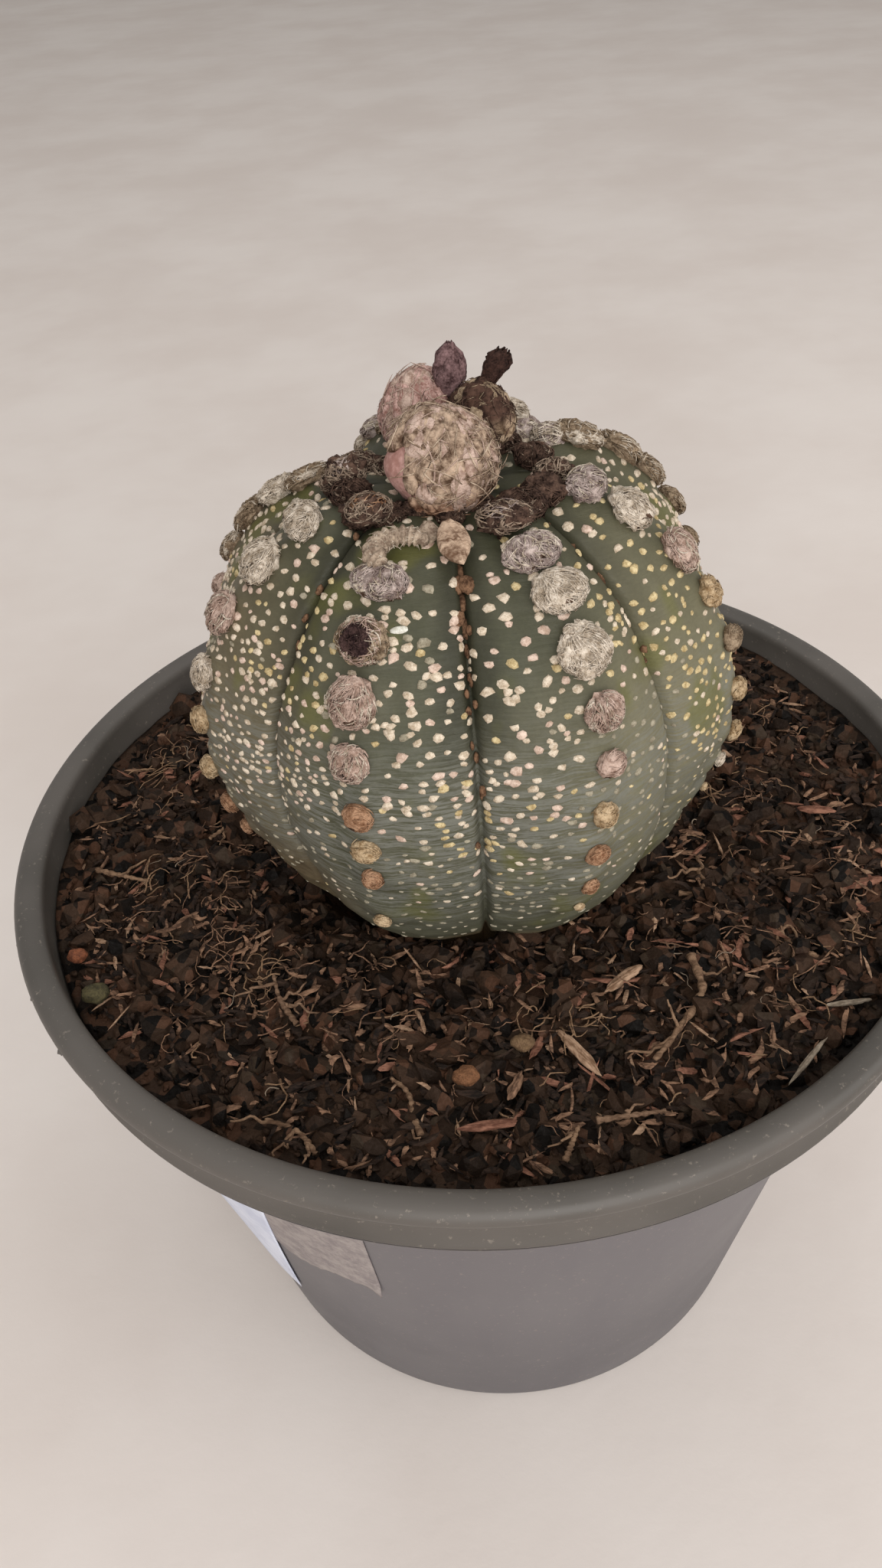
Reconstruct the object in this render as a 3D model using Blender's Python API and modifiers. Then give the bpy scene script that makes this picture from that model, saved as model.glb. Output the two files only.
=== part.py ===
"""A star cactus with eight ribs, standing in the soil of a round plastic nursery pot."""
import math

import bmesh
import bpy
from mathutils import Matrix, Vector, noise
from mathutils.bvhtree import BVHTree

MM = 0.001
GAP = 0.3 * MM                      # left between pieces that rest on each other

# The pot: a tapered wall, a wider collar with a rolled lip, a foot ring and drain holes.
RIM_RADIUS = 75.0 * MM
POT_HEIGHT = 104.1 * MM
BASE_RADIUS = 50.0 * MM
WALL_TAPER = 0.172                  # outward run of the wall for each unit of height
WALL = 1.4 * MM
RIM_INNER_RADIUS = 70.4 * MM
COLLAR_RADIUS = 72.6 * MM
COLLAR_Z = 93.6 * MM                # the collar's lower edge, where it steps in to the wall
LEDGE_Z = 95.0 * MM                 # the same step, inside
FLOOR_Z = 3.6 * MM
DRAIN_HOLES = 8
DRAIN_RADIUS = 4.5 * MM
DRAIN_CIRCLE = 38.0 * MM
POT_STEPS = 48

# The soil: nearly level, a little higher on the right.
SOIL_TOP_Z = 99.0 * MM
SOIL_SLOPE_X = 0.008
SOIL_RIPPLE = 0.7 * MM

# The plant: a near-sphere of eight ribs over a buried tap root.
STEM_CENTRE = Vector((-0.8, 3.4, 125.5)) * MM
STEM_RADIUS = 40.6 * MM             # to a rib's crest
STEM_HALF_HEIGHT = 39.5 * MM
RIBS = 8
GROOVE_AZIMUTH = 1.0                # degrees, from the front (-Y) towards +X
GROOVE_DEPTH = 2.9 * MM
CROWN_DEPTH = 6.5 * MM
CROWN_WIDTH = 13.0 * MM
ROOT_TIP_Z = 46.0 * MM
AREOLE_GAP = 11.3                   # degrees from one areole to the next, near the top
AREOLE_GAP_SHRINK = 0.12
AREOLE_COUNT = 9
# Elevation of each rib's top areole in degrees, rib by rib from the front one on the right.
AREOLE_TOPS = (57.0, 62.0, 55.0, 59.0, 54.0, 60.0, 57.0, 53.0)

# Columns across one rib, in degrees from its groove: close together where the groove is sharp.
RIB_COLUMNS = (0.0, 2.0, 6.0, 13.0, 22.5, 32.0, 39.0, 43.0)

# Dried buds and bracts round the fruits: name, place, half lengths and turn (mm and degrees).
BUDS = (
    ("dried_bud_front", (-0.9, -17.2), (1.9, 3.1, 1.2), 12.0),
    ("dried_bud_left", (-11.6, -9.6), (2.7, 2.0, 1.8), -20.0),
    ("dried_bud_right", (5.4, -13.6), (3.2, 2.0, 1.8), 25.0),
    ("dried_bud_back_left", (-15.0, 0.6), (2.6, 1.9, 1.7), -35.0),
)
# The curled strip beside the front bract, as a path on the crown (mm).
BUD_CURL_PATH = ((-10.2, -19.8), (-9.6, -16.6), (-6.6, -15.3), (-4.0, -16.0))

# Fruits: name, centre and half lengths (mm).
FRUITS = (
    ("fruit_front", (-2.5, -4.6, 165.0), (7.1, 6.3, 7.0)),
    ("fruit_left", (-4.6, 9.6, 166.2), (4.9, 4.6, 5.5)),
    ("fruit_right", (3.4, 4.9, 167.2), (4.0, 3.8, 4.3)),
)
# Dried flower stubs: name, base, tip and half width (mm).
REMNANTS = (
    ("flower_remnant_left", (-0.5, 8.2, 170.2), (0.1, 7.4, 176.9), 1.9),
    ("flower_remnant_right", (3.9, 6.0, 171.9), (7.4, 6.0, 175.8), 1.5),
)

# Twigs and root fibres on the soil: name, path seen from above (mm) and radius (mm).
TWIGS = (
    ("twig_fork", ((42.2, -26.0), (44.0, -32.0), (47.5, -35.0)), 0.55),
    ("twig_root", ((20.5, -52.0), (24.5, -47.0), (29.5, -40.0), (29.5, -35.5), (28.5, -32.0)), 0.9),
    ("twig_pale", ((12.5, -60.0), (21.5, -59.0)), 0.8),
    ("twig_front", ((10.2, -60.5), (8.0, -65.5)), 0.5),
    ("twig_bent", ((33.5, -13.0), (32.5, -20.5), (28.0, -19.5)), 0.6),
    ("twig_curly", ((-30.5, -56.5), (-26.0, -58.8), (-23.5, -62.3)), 0.6),
    ("twig_rootlet", ((-31.5, -32.0), (-30.0, -37.0), (-27.5, -41.0)), 0.6),
    ("twig_left", ((-63.0, -6.5), (-54.0, -10.0)), 0.6),
    ("twig_arc", ((-14.5, -50.5), (-11.8, -53.5), (-10.8, -58.0), (-9.8, -61.0)), 0.5),
    ("twig_back", ((-45.0, -1.0), (-40.0, 4.5)), 0.6),
)
# Chips of bark: name, centre, half length, half width (mm) and turn (degrees).
CHIPS = (
    ("chip_spindle", (-1.0, -59.8), 4.2, 0.9, 1.0),
    ("chip_slant", (11.4, -48.7), 4.6, 1.0, -58.0),
    ("chip_small", (2.6, -53.6), 2.4, 0.9, 62.0),
    ("chip_right", (57.4, -20.6), 3.6, 1.0, 12.0),
    ("chip_back_right", (54.4, -3.9), 3.0, 1.0, -15.0),
    ("chip_by_stem", (19.1, -36.5), 3.6, 1.1, 35.0),
    ("chip_left", (-45.0, -19.0), 3.4, 1.3, 24.0),
    ("sliver_white", (49.0, -43.2), 3.2, 0.7, 4.0),
    ("sliver_grey", (41.2, -52.5), 4.6, 0.8, 46.0),
)
# Pebbles: name, centre and radius (mm).
PEBBLES = (
    ("pebble_orange", (-61.8, -26.0), 1.4),
    ("pebble_green", (-57.5, -34.0), 1.8),
    ("pebble_tan", (3.9, -47.1), 1.5),
    ("pebble_brown", (-3.9, -52.0), 1.6),
)

# Stickers on the wall. Each corner is its azimuth from the front in degrees, its height, and how
# far it has peeled off the wall (mm).
LABELS = (
    ("label_grey", ((-40.0, 74.0, 0.0), (-20.5, 74.0, 0.0), (-19.0, 72.0, 0.0), (-19.6, 51.0, 0.3),
                    (-26.0, 51.5, 0.0), (-33.0, 50.0, 0.0), (-37.5, 48.5, 0.0), (-40.3, 53.0, 0.0))),
    ("label_white", ((-62.0, 72.0, 2.6), (-52.0, 73.0, 1.6), (-42.0, 73.0, 0.0), (-43.0, 52.0, 0.0),
                     (-46.5, 36.0, 0.0), (-49.5, 24.5, 0.0), (-57.5, 26.5, 0.6), (-60.0, 38.0, 1.4),
                     (-62.5, 54.0, 2.4))),
)
LABEL_THICKNESS = 0.25 * MM


def clear_scene():
    for obj in list(bpy.data.objects):
        bpy.data.objects.remove(obj, do_unlink=True)


def make_collection(name):
    collection = bpy.data.collections.new(name)
    bpy.context.scene.collection.children.link(collection)
    return collection


def material(name, colour, roughness):
    mat = bpy.data.materials.new(name)
    mat.use_nodes = True
    shader = mat.node_tree.nodes["Principled BSDF"]
    shader.inputs["Base Color"].default_value = (*colour, 1.0)
    shader.inputs["Roughness"].default_value = roughness
    return mat


def add_object(name, mesh, collection, mat=None, smooth=True):
    obj = bpy.data.objects.new(name, mesh)
    collection.objects.link(obj)
    if mat:
        mesh.materials.append(mat)
    for face in mesh.polygons:
        face.use_smooth = smooth
    return obj


def mesh_from_bmesh(name, bm):
    bmesh.ops.remove_doubles(bm, verts=bm.verts[:], dist=1e-7)
    bmesh.ops.recalc_face_normals(bm, faces=bm.faces[:])
    mesh = bpy.data.meshes.new(name)
    bm.to_mesh(mesh)
    bm.free()
    return mesh


def loft(name, rings):
    """A closed body through rings of equal length. The first and last are closed with a fan."""
    bm = bmesh.new()
    loops = []
    for ring in rings:
        loops.append([bm.verts.new(point) for point in ring])
    count = len(rings[0])
    for low, high in zip(loops, loops[1:]):
        for i in range(count):
            j = (i + 1) % count
            bm.faces.new((low[i], low[j], high[j], high[i]))
    for end in (loops[0], loops[-1]):
        centre = bm.verts.new(sum((v.co for v in end), Vector()) / count)
        for i in range(count):
            bm.faces.new((centre, end[i], end[(i + 1) % count]))
    return mesh_from_bmesh(name, bm)


def front_direction(azimuth):
    """Unit vector in plan, for an azimuth in degrees from the front (-Y) towards +X."""
    turn = math.radians(azimuth)
    return Vector((math.sin(turn), -math.cos(turn), 0.0))


def plan_columns():
    """The azimuths of the mesh columns that the stem and the soil share."""
    step = 360.0 / RIBS
    return [GROOVE_AZIMUTH + rib * step + column for rib in range(RIBS) for column in RIB_COLUMNS]


# ---- pot

def wall_radius(z):
    """Outer radius of the tapered wall at a height."""
    return BASE_RADIUS + WALL_TAPER * z


def pot_profile():
    """Half section, from the floor's middle up the inside, over the lip and down the outside."""
    top = POT_HEIGHT
    outer = RIM_RADIUS
    inner = RIM_INNER_RADIUS
    return [
        (0.0, FLOOR_Z + 2.4 * MM),
        (24.5 * MM, FLOOR_Z + 2.4 * MM),
        (28.5 * MM, FLOOR_Z),
        (wall_radius(FLOOR_Z) - WALL - 1.5 * MM, FLOOR_Z),
        (wall_radius(FLOOR_Z) - WALL, FLOOR_Z + 1.2 * MM),
        (wall_radius(LEDGE_Z) - WALL, LEDGE_Z - 0.6 * MM),
        (wall_radius(LEDGE_Z) - WALL + 0.6 * MM, LEDGE_Z),
        (inner - 1.2 * MM, LEDGE_Z),
        (inner - 0.5 * MM, LEDGE_Z + 0.7 * MM),
        (inner, top - 2.0 * MM),
        (inner + 0.3 * MM, top - 1.0 * MM),
        (inner + 1.1 * MM, top - 0.3 * MM),
        (inner + 2.4 * MM, top),
        (outer - 1.1 * MM, top - 0.3 * MM),
        (outer - 0.35 * MM, top - 0.9 * MM),
        (outer, top - 1.8 * MM),
        (outer - 0.25 * MM, top - 2.7 * MM),
        (outer - 0.95 * MM, top - 3.2 * MM),
        (COLLAR_RADIUS + 0.25 * MM, top - 3.5 * MM),
        (COLLAR_RADIUS, top - 4.2 * MM),
        (COLLAR_RADIUS - 0.1 * MM, COLLAR_Z + 0.5 * MM),
        (COLLAR_RADIUS - 0.6 * MM, COLLAR_Z),
        (wall_radius(COLLAR_Z) + 0.5 * MM, COLLAR_Z),
        (wall_radius(COLLAR_Z), COLLAR_Z - 0.5 * MM),
        (wall_radius(1.4 * MM), 1.4 * MM),
        (BASE_RADIUS - 0.1 * MM, 0.4 * MM),
        (BASE_RADIUS - 0.6 * MM, 0.0),
        (BASE_RADIUS - 4.2 * MM, 0.0),
        (BASE_RADIUS - 4.8 * MM, FLOOR_Z - 1.6 * MM),
        (29.3 * MM, FLOOR_Z - 1.6 * MM),
        (25.3 * MM, FLOOR_Z + 0.8 * MM),
        (0.0, FLOOR_Z + 0.8 * MM),
    ]


def build_pot(parts, cutters, mat):
    profile = pot_profile()
    mesh = bpy.data.meshes.new("pot")
    points = [(radius, 0.0, z) for radius, z in profile]
    mesh.from_pydata(points, [(i, i + 1) for i in range(len(points) - 1)], [])
    pot = add_object("pot", mesh, parts, mat)
    screw = pot.modifiers.new("revolve", "SCREW")
    screw.angle = math.tau
    screw.steps = POT_STEPS
    screw.render_steps = POT_STEPS
    screw.use_merge_vertices = True
    screw.merge_threshold = 0.00005
    screw.use_smooth_shade = True
    for i in range(DRAIN_HOLES):
        turn = math.tau * (i + 0.5) / DRAIN_HOLES
        bm = bmesh.new()
        place = Matrix.Translation((DRAIN_CIRCLE * math.cos(turn), DRAIN_CIRCLE * math.sin(turn), FLOOR_Z))
        bmesh.ops.create_cone(bm, cap_ends=True, segments=14, radius1=DRAIN_RADIUS,
                              radius2=DRAIN_RADIUS, depth=10.0 * MM, matrix=place)
        cutter = add_object(f"drain_cutter_{i}", mesh_from_bmesh("drain", bm), cutters)
        cutter.hide_render = True
        cutter.display_type = "WIRE"
        cut = pot.modifiers.new(f"drain_{i}", "BOOLEAN")
        cut.operation = "DIFFERENCE"
        cut.solver = "EXACT"
        cut.object = cutter
    return pot


# ---- plant

def rib_share(azimuth):
    """0 in a groove, 1 on a crest: steep beside the groove and broad over the crest."""
    step = 360.0 / RIBS
    offset = (azimuth - GROOVE_AZIMUTH) % step
    return math.sin(math.pi * offset / step) ** 0.6


def stem_point(azimuth, elevation):
    """A point on the green body, seen from its centre."""
    rise = math.radians(elevation)
    radius = STEM_RADIUS - GROOVE_DEPTH * (1.0 - rib_share(azimuth))
    point = front_direction(azimuth) * (radius * math.cos(rise))
    distance = point.length
    height = STEM_HALF_HEIGHT * math.sin(rise)
    if elevation > 0.0:
        height -= CROWN_DEPTH * math.exp(-(distance / CROWN_WIDTH) ** 2)
    return STEM_CENTRE + point + Vector((0.0, 0.0, height))


def stem_radius_at(azimuth, z):
    """Radius of the lower half of the green body at a height."""
    level = (z - STEM_CENTRE.z) / STEM_HALF_HEIGHT
    return (STEM_RADIUS - GROOVE_DEPTH * (1.0 - rib_share(azimuth))) * math.sqrt(1.0 - level * level)


def buried_ring(columns, z, radius, ribbing, grow=0.0):
    """A ring of the base and tap root under the soil, with fading ribs."""
    ring = []
    for azimuth in columns:
        lobed = radius - GROOVE_DEPTH * ribbing * (1.0 - rib_share(azimuth)) + grow
        point = STEM_CENTRE + front_direction(azimuth) * lobed
        point.z = z
        ring.append(point)
    return ring


def buried_rows():
    """Height, crest radius and share of ribbing of each buried ring, from the tip up."""
    return [
        (ROOT_TIP_Z, 0.8 * MM, 0.0),
        (56.0 * MM, 3.0 * MM, 0.0),
        (68.0 * MM, 6.5 * MM, 0.0),
        (77.0 * MM, 13.0 * MM, 0.2),
        (84.0 * MM, 20.5 * MM, 0.5),
        (89.5 * MM, 24.8 * MM, 0.8),
    ]


def build_stem(parts, cutters, mat):
    columns = plan_columns()
    rings = [buried_ring(columns, *row) for row in buried_rows()]
    for elevation in (-50, -44, -36, -27, -18, -9, 0, 9, 18, 27, 36, 45, 53, 61, 68, 74, 79.5, 85):
        rings.append([stem_point(azimuth, elevation) for azimuth in columns])
    stem = add_object("cactus_stem", loft("cactus_stem", rings), parts, mat)

    bm = bmesh.new()
    for rib, top in enumerate(AREOLE_TOPS):
        azimuth = GROOVE_AZIMUTH + (rib + 0.5) * 360.0 / RIBS
        for i in range(AREOLE_COUNT):
            elevation = top - AREOLE_GAP * i + AREOLE_GAP_SHRINK * i * i
            point = stem_point(azimuth, elevation)
            outward = (point - STEM_CENTRE).normalized()
            size = (3.0 - 0.1 * i) * MM
            turn = outward.to_track_quat("Z", "Y").to_matrix().to_4x4()
            place = Matrix.Translation(point + outward * 0.2 * MM) @ turn
            place = place @ Matrix.Diagonal((size * 0.85, size, (1.9 + 0.08 * i) * MM, 1.0))
            bmesh.ops.create_uvsphere(bm, u_segments=8, v_segments=4, radius=1.0, matrix=place)
    areoles = add_object("areole_domes", mesh_from_bmesh("areole_domes", bm), cutters)
    areoles.hide_render = True
    areoles.display_type = "WIRE"
    join = stem.modifiers.new("areoles", "BOOLEAN")
    join.operation = "UNION"
    join.solver = "EXACT"
    join.object = areoles
    return stem


def soil_height(x, y):
    ripple = noise.noise(Vector((x, y, 0.0)) / (14.0 * MM)) * SOIL_RIPPLE
    return SOIL_TOP_Z + SOIL_SLOPE_X * x + ripple


def level_ring(columns, radius, z):
    return [front_direction(azimuth) * radius + Vector((0.0, 0.0, z)) for azimuth in columns]


def build_soil(parts, mat):
    """One loft: up the pot's wall, across the top and down into the hollow round the stem."""
    columns = plan_columns()
    clearance = GAP + 0.1 * MM
    floor = FLOOR_Z + 2.4 * MM + GAP
    neck = LEDGE_Z - 0.6 * MM
    edge = RIM_INNER_RADIUS - 0.6 * MM - clearance
    rings = [
        level_ring(columns, wall_radius(floor) - WALL - clearance, floor),
        level_ring(columns, wall_radius((floor + neck) / 2) - WALL - clearance, (floor + neck) / 2),
        level_ring(columns, wall_radius(neck) - WALL - clearance, neck),
        level_ring(columns, wall_radius(neck) - WALL - clearance, LEDGE_Z + clearance),
        level_ring(columns, edge - 0.8 * MM, LEDGE_Z + clearance),
    ]
    steps = 5
    for step in range(steps + 1):
        ring = []
        for azimuth in columns:
            direction = front_direction(azimuth)
            inner = STEM_CENTRE + direction * (stem_radius_at(azimuth, SOIL_TOP_Z) + 0.9 * MM)
            point = (direction * edge).lerp(Vector((inner.x, inner.y, 0.0)), step / steps)
            point.z = soil_height(point.x, point.y)
            ring.append(point)
        rings.append(ring)
    for z, radius, ribbing in reversed(buried_rows()):
        rings.append(buried_ring(columns, z - GAP * 0.5, radius, ribbing, grow=clearance))
    tip = STEM_CENTRE.copy()
    tip.z = ROOT_TIP_Z - 1.0 * MM
    rings.append([tip + front_direction(a) * 0.3 * MM for a in columns])
    return add_object("soil", loft("soil", rings), parts, mat)


# ---- small pieces

def surface_tree(obj):
    depsgraph = bpy.context.evaluated_depsgraph_get()
    return BVHTree.FromObject(obj, depsgraph)


def height_on(tree, x, y):
    hit = tree.ray_cast(Vector((x, y, 0.25)), Vector((0.0, 0.0, -1.0)))
    return hit[0].z


def rest_on(mesh, tree, gap=GAP):
    """Lowers or lifts a mesh until it stands just clear of the surface under it."""
    drop = min(v.co.z - height_on(tree, v.co.x, v.co.y) for v in mesh.vertices)
    mesh.transform(Matrix.Translation((0.0, 0.0, gap - drop)))


def press_onto(mesh, tree, gap):
    """Raises the vertices that would sink into the surface under them."""
    for vert in mesh.vertices:
        vert.co.z = max(vert.co.z, height_on(tree, vert.co.x, vert.co.y) + gap)


def tube(name, points, radius, taper=0.6):
    """A round stick through points: a bevelled curve turned into a mesh."""
    curve = bpy.data.curves.new(name, "CURVE")
    curve.dimensions = "3D"
    curve.bevel_depth = radius
    curve.bevel_resolution = 1
    curve.resolution_u = 3
    curve.use_fill_caps = True
    spline = curve.splines.new("BEZIER")
    spline.bezier_points.add(len(points) - 1)
    for i, (knot, point) in enumerate(zip(spline.bezier_points, points)):
        knot.co = point
        knot.handle_left_type = "AUTO"
        knot.handle_right_type = "AUTO"
        knot.radius = 1.0 - (1.0 - taper) * i / (len(points) - 1)
    holder = bpy.data.objects.new(name + "_curve", curve)
    bpy.context.scene.collection.objects.link(holder)
    depsgraph = bpy.context.evaluated_depsgraph_get()
    made = bpy.data.meshes.new_from_object(holder.evaluated_get(depsgraph))
    bpy.data.objects.remove(holder, do_unlink=True)
    bm = bmesh.new()
    bm.from_mesh(made)
    bmesh.ops.remove_doubles(bm, verts=bm.verts[:], dist=1e-6)
    return mesh_from_bmesh(name, bm)


def blob(name, centre, half, turn=0.0, rough=0.06, segments=14, rings=9):
    """A lumpy ovoid."""
    bm = bmesh.new()
    bmesh.ops.create_uvsphere(bm, u_segments=segments, v_segments=rings, radius=1.0)
    for vert in bm.verts:
        seed = Vector((centre[0], centre[1], 0.0)) / (10.0 * MM)
        vert.co *= 1.0 + rough * noise.noise(vert.co * 2.2 + seed)
    place = Matrix.Translation(centre) @ Matrix.Rotation(math.radians(turn), 4, "Z")
    place = place @ Matrix.Diagonal((half[0], half[1], half[2], 1.0))
    bmesh.ops.transform(bm, matrix=place, verts=bm.verts[:])
    return mesh_from_bmesh(name, bm)


def build_crown_pieces(parts, stem, mats):
    tree = surface_tree(stem)
    for name, place, half, turn in BUDS:
        centre = (place[0] * MM, place[1] * MM, 0.18)
        size = [length * MM for length in half]
        mesh = blob(name, centre, size, turn, rough=0.15, segments=10, rings=7)
        rest_on(mesh, tree)
        add_object(name, mesh, parts, mats["bud"])
    path = [(x * MM, y * MM, height_on(tree, x * MM, y * MM) + 1.5 * MM) for x, y in BUD_CURL_PATH]
    mesh = tube("dried_bud_curl", path, 0.9 * MM)
    rest_on(mesh, tree)
    add_object("dried_bud_curl", mesh, parts, mats["bud"])
    for name, centre, half in FRUITS:
        place = [length * MM for length in centre]
        size = [length * MM for length in half]
        mesh = blob(name, place, size, rough=0.05, segments=16, rings=10)
        press_onto(mesh, tree, 0.5 * MM)
        add_object(name, mesh, parts, mats[name])
    for name, base, tip, half_width in REMNANTS:
        start = Vector(base) * MM
        along = Vector(tip) * MM - start
        mesh = blob(name, (0.0, 0.0, 0.0), (half_width * MM, half_width * 0.6 * MM, along.length / 2),
                    rough=0.12, segments=10, rings=8)
        turn = along.to_track_quat("Z", "Y").to_matrix().to_4x4()
        mesh.transform(Matrix.Translation(start + along / 2) @ turn)
        add_object(name, mesh, parts, mats[name])


def chip_mesh(name, place, half_length, half_width, turn):
    """A flat splinter with pointed ends."""
    outline = ((-1.0, 0.0), (-0.55, 0.8), (0.3, 1.0), (1.0, 0.15), (0.5, -0.9), (-0.35, -1.0))
    rings = []
    for height, share in ((-0.5, 0.85), (0.0, 1.0), (0.5, 0.8)):
        ring = []
        for along, across in outline:
            ring.append(Vector((along * half_length * share, across * half_width * share, height)) * MM)
        rings.append(ring)
    mesh = loft(name, rings)
    x, y = place[0] * MM, place[1] * MM
    place = Matrix.Translation((x, y, soil_height(x, y) + 2.0 * MM))
    mesh.transform(place @ Matrix.Rotation(math.radians(turn), 4, "Z"))
    return mesh


def build_loose_pieces(parts, soil, mats):
    tree = surface_tree(soil)
    for name, path, radius in TWIGS:
        points = [(x * MM, y * MM, soil_height(x * MM, y * MM) + 2.0 * MM) for x, y in path]
        mesh = tube(name, points, radius * MM)
        rest_on(mesh, tree)
        add_object(name, mesh, parts, mats["twig"])
    for name, place, half_length, half_width, turn in CHIPS:
        mesh = chip_mesh(name, place, half_length, half_width, turn)
        rest_on(mesh, tree)
        add_object(name, mesh, parts, mats["sliver" if name.startswith("sliver") else "chip"], smooth=False)
    for name, place, radius in PEBBLES:
        centre = (place[0] * MM, place[1] * MM, 0.12)
        mesh = blob(name, centre, (radius * MM, radius * 0.85 * MM, radius * 0.75 * MM),
                    rough=0.2, segments=9, rings=6)
        rest_on(mesh, tree)
        add_object(name, mesh, parts, mats["pebble"])


def with_middles(corners):
    """Adds a point in the middle of each side, so that a sheet bends with the wall."""
    points = []
    for start, end in zip(corners, corners[1:] + corners[:1]):
        points.append(start)
        points.append(tuple((a + b) / 2 for a, b in zip(start, end)))
    return points


def build_labels(parts, mats):
    """Thin sheets that follow the tapered wall."""
    for name, corners in LABELS:
        middle = tuple(sum(values) / len(corners) for values in zip(*corners))
        bm = bmesh.new()
        layers = []
        for thickness in (0.0, LABEL_THICKNESS):
            layer = []
            for azimuth, height, peel in with_middles(corners) + [middle]:
                z = height * MM
                radius = wall_radius(z) + GAP + peel * MM + thickness
                layer.append(bm.verts.new(front_direction(azimuth) * radius + Vector((0.0, 0.0, z))))
            layers.append(layer)
        inner, outer = layers
        count = len(inner) - 1
        for i in range(count):
            j = (i + 1) % count
            bm.faces.new((inner[i], inner[j], outer[j], outer[i]))
            bm.faces.new((inner[-1], inner[j], inner[i]))
            bm.faces.new((outer[-1], outer[i], outer[j]))
        add_object(name, mesh_from_bmesh(name, bm), parts, mats[name], smooth=False)


def main():
    clear_scene()
    parts = make_collection("potted_star_cactus")
    cutters = make_collection("cutters")
    mats = {
        "twig": material("twig", (0.36, 0.24, 0.15), 0.9),
        "chip": material("chip", (0.22, 0.11, 0.07), 0.85),
        "sliver": material("sliver", (0.55, 0.50, 0.46), 0.8),
        "pebble": material("pebble", (0.42, 0.25, 0.13), 0.7),
        "bud": material("dried_bud", (0.28, 0.19, 0.15), 0.95),
        "fruit_front": material("fruit_skin", (0.55, 0.36, 0.29), 0.9),
        "fruit_left": material("fruit_wool_pink", (0.60, 0.42, 0.38), 0.95),
        "fruit_right": material("fruit_wool_dark", (0.24, 0.16, 0.11), 0.95),
        "flower_remnant_left": material("remnant_mauve", (0.24, 0.14, 0.15), 0.9),
        "flower_remnant_right": material("remnant_dark", (0.07, 0.04, 0.03), 0.9),
        "label_grey": material("label_grey", (0.38, 0.33, 0.33), 0.6),
        "label_white": material("label_white", (0.78, 0.82, 0.92), 0.5),
    }
    build_pot(parts, cutters, material("pot_plastic", (0.11, 0.10, 0.10), 0.45))
    stem = build_stem(parts, cutters, material("cactus_skin", (0.09, 0.11, 0.06), 0.6))
    soil = build_soil(parts, material("soil", (0.03, 0.018, 0.012), 0.95))
    build_crown_pieces(parts, stem, mats)
    build_loose_pieces(parts, soil, mats)
    build_labels(parts, mats)


main()
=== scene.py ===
"""The looks of the potted star cactus: skin, wool, fruits, soil and pot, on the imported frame."""
import math

import bmesh
import bpy
import numpy as np
from mathutils import Matrix, Vector, noise


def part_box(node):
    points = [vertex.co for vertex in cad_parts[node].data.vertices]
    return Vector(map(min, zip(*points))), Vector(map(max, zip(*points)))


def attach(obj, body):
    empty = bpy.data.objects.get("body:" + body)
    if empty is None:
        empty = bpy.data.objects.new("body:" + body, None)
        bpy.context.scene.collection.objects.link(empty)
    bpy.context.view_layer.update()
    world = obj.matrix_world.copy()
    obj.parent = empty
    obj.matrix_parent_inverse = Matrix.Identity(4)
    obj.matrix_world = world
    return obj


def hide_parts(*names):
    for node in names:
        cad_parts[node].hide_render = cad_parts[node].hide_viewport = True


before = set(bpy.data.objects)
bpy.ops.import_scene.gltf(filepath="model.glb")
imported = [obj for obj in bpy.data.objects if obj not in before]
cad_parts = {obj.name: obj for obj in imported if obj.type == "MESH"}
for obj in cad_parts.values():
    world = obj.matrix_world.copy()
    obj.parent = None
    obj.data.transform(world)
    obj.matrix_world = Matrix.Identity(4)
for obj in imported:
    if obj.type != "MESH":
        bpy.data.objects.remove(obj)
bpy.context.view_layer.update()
MM = 0.001
rng = np.random.default_rng(7)

# ---- sizes, from the frame where it has them

POT_LOW, POT_HIGH = (Vector(corner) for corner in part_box("pot"))

RIM_RADIUS = (POT_HIGH.x - POT_LOW.x) / 2
POT_HEIGHT = POT_HIGH.z
BASE_RADIUS = RIM_RADIUS * 0.667
WALL_TAPER = 0.172
WALL = 1.4 * MM
SHEET_GAP = 0.4 * MM                # between the soil and the pot or the stem
RIM_INNER = RIM_RADIUS - 4.6 * MM
COLLAR_RADIUS = RIM_RADIUS - 2.4 * MM
COLLAR_Z = POT_HEIGHT - 10.5 * MM
LEDGE_Z = POT_HEIGHT - 9.1 * MM
FLOOR_Z = 3.6 * MM
FLOOR_RISE = 2.4 * MM               # the raised middle of the floor
DRAIN_HOLES = 8
DRAIN_CIRCLE = 38.0 * MM
DRAIN_RADIUS = 4.5 * MM

SOIL_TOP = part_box("soil")[1][2] - 1.2 * MM
SOIL_EDGE = RIM_INNER - 0.7 * MM

STEM_CENTRE = np.array([-0.8, 3.4, 125.5]) * MM
CREST_RADIUS = 40.6 * MM
HALF_HEIGHT = 39.5 * MM
RIBS = 8
SECTOR = 360.0 / RIBS
GROOVE_AZIMUTH = 1.0
CROWN_DEPTH = 6.5 * MM
CROWN_WIDTH = 13.0 * MM
STUB_AREOLE = (7, 1)                # rib and place of the areole with a dried dark stub

# Elevation of the areoles on each rib, crown to base. Rib 0 is the front one on the right.
AREOLE_LEVELS = (
    (57, 48, 37, 26, 16, 6, -3, -13, -20),
    (63, 53, 41, 30, 19, 8, -2, -11, -19),
    (62, 51, 41, 30, 19, 8, -3, -13, -21),
    (66, 55, 44, 33, 22, 11, 0, -10, -19),
    (62, 52, 41, 31, 20, 9, -2, -12, -20),
    (57, 48, 38, 28, 17, 6, -5, -14, -22),
    (58, 47, 34, 21, 10, -1, -11, -19),
    (53, 42, 31, 20, 10, 2, -5, -19),
)
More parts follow.
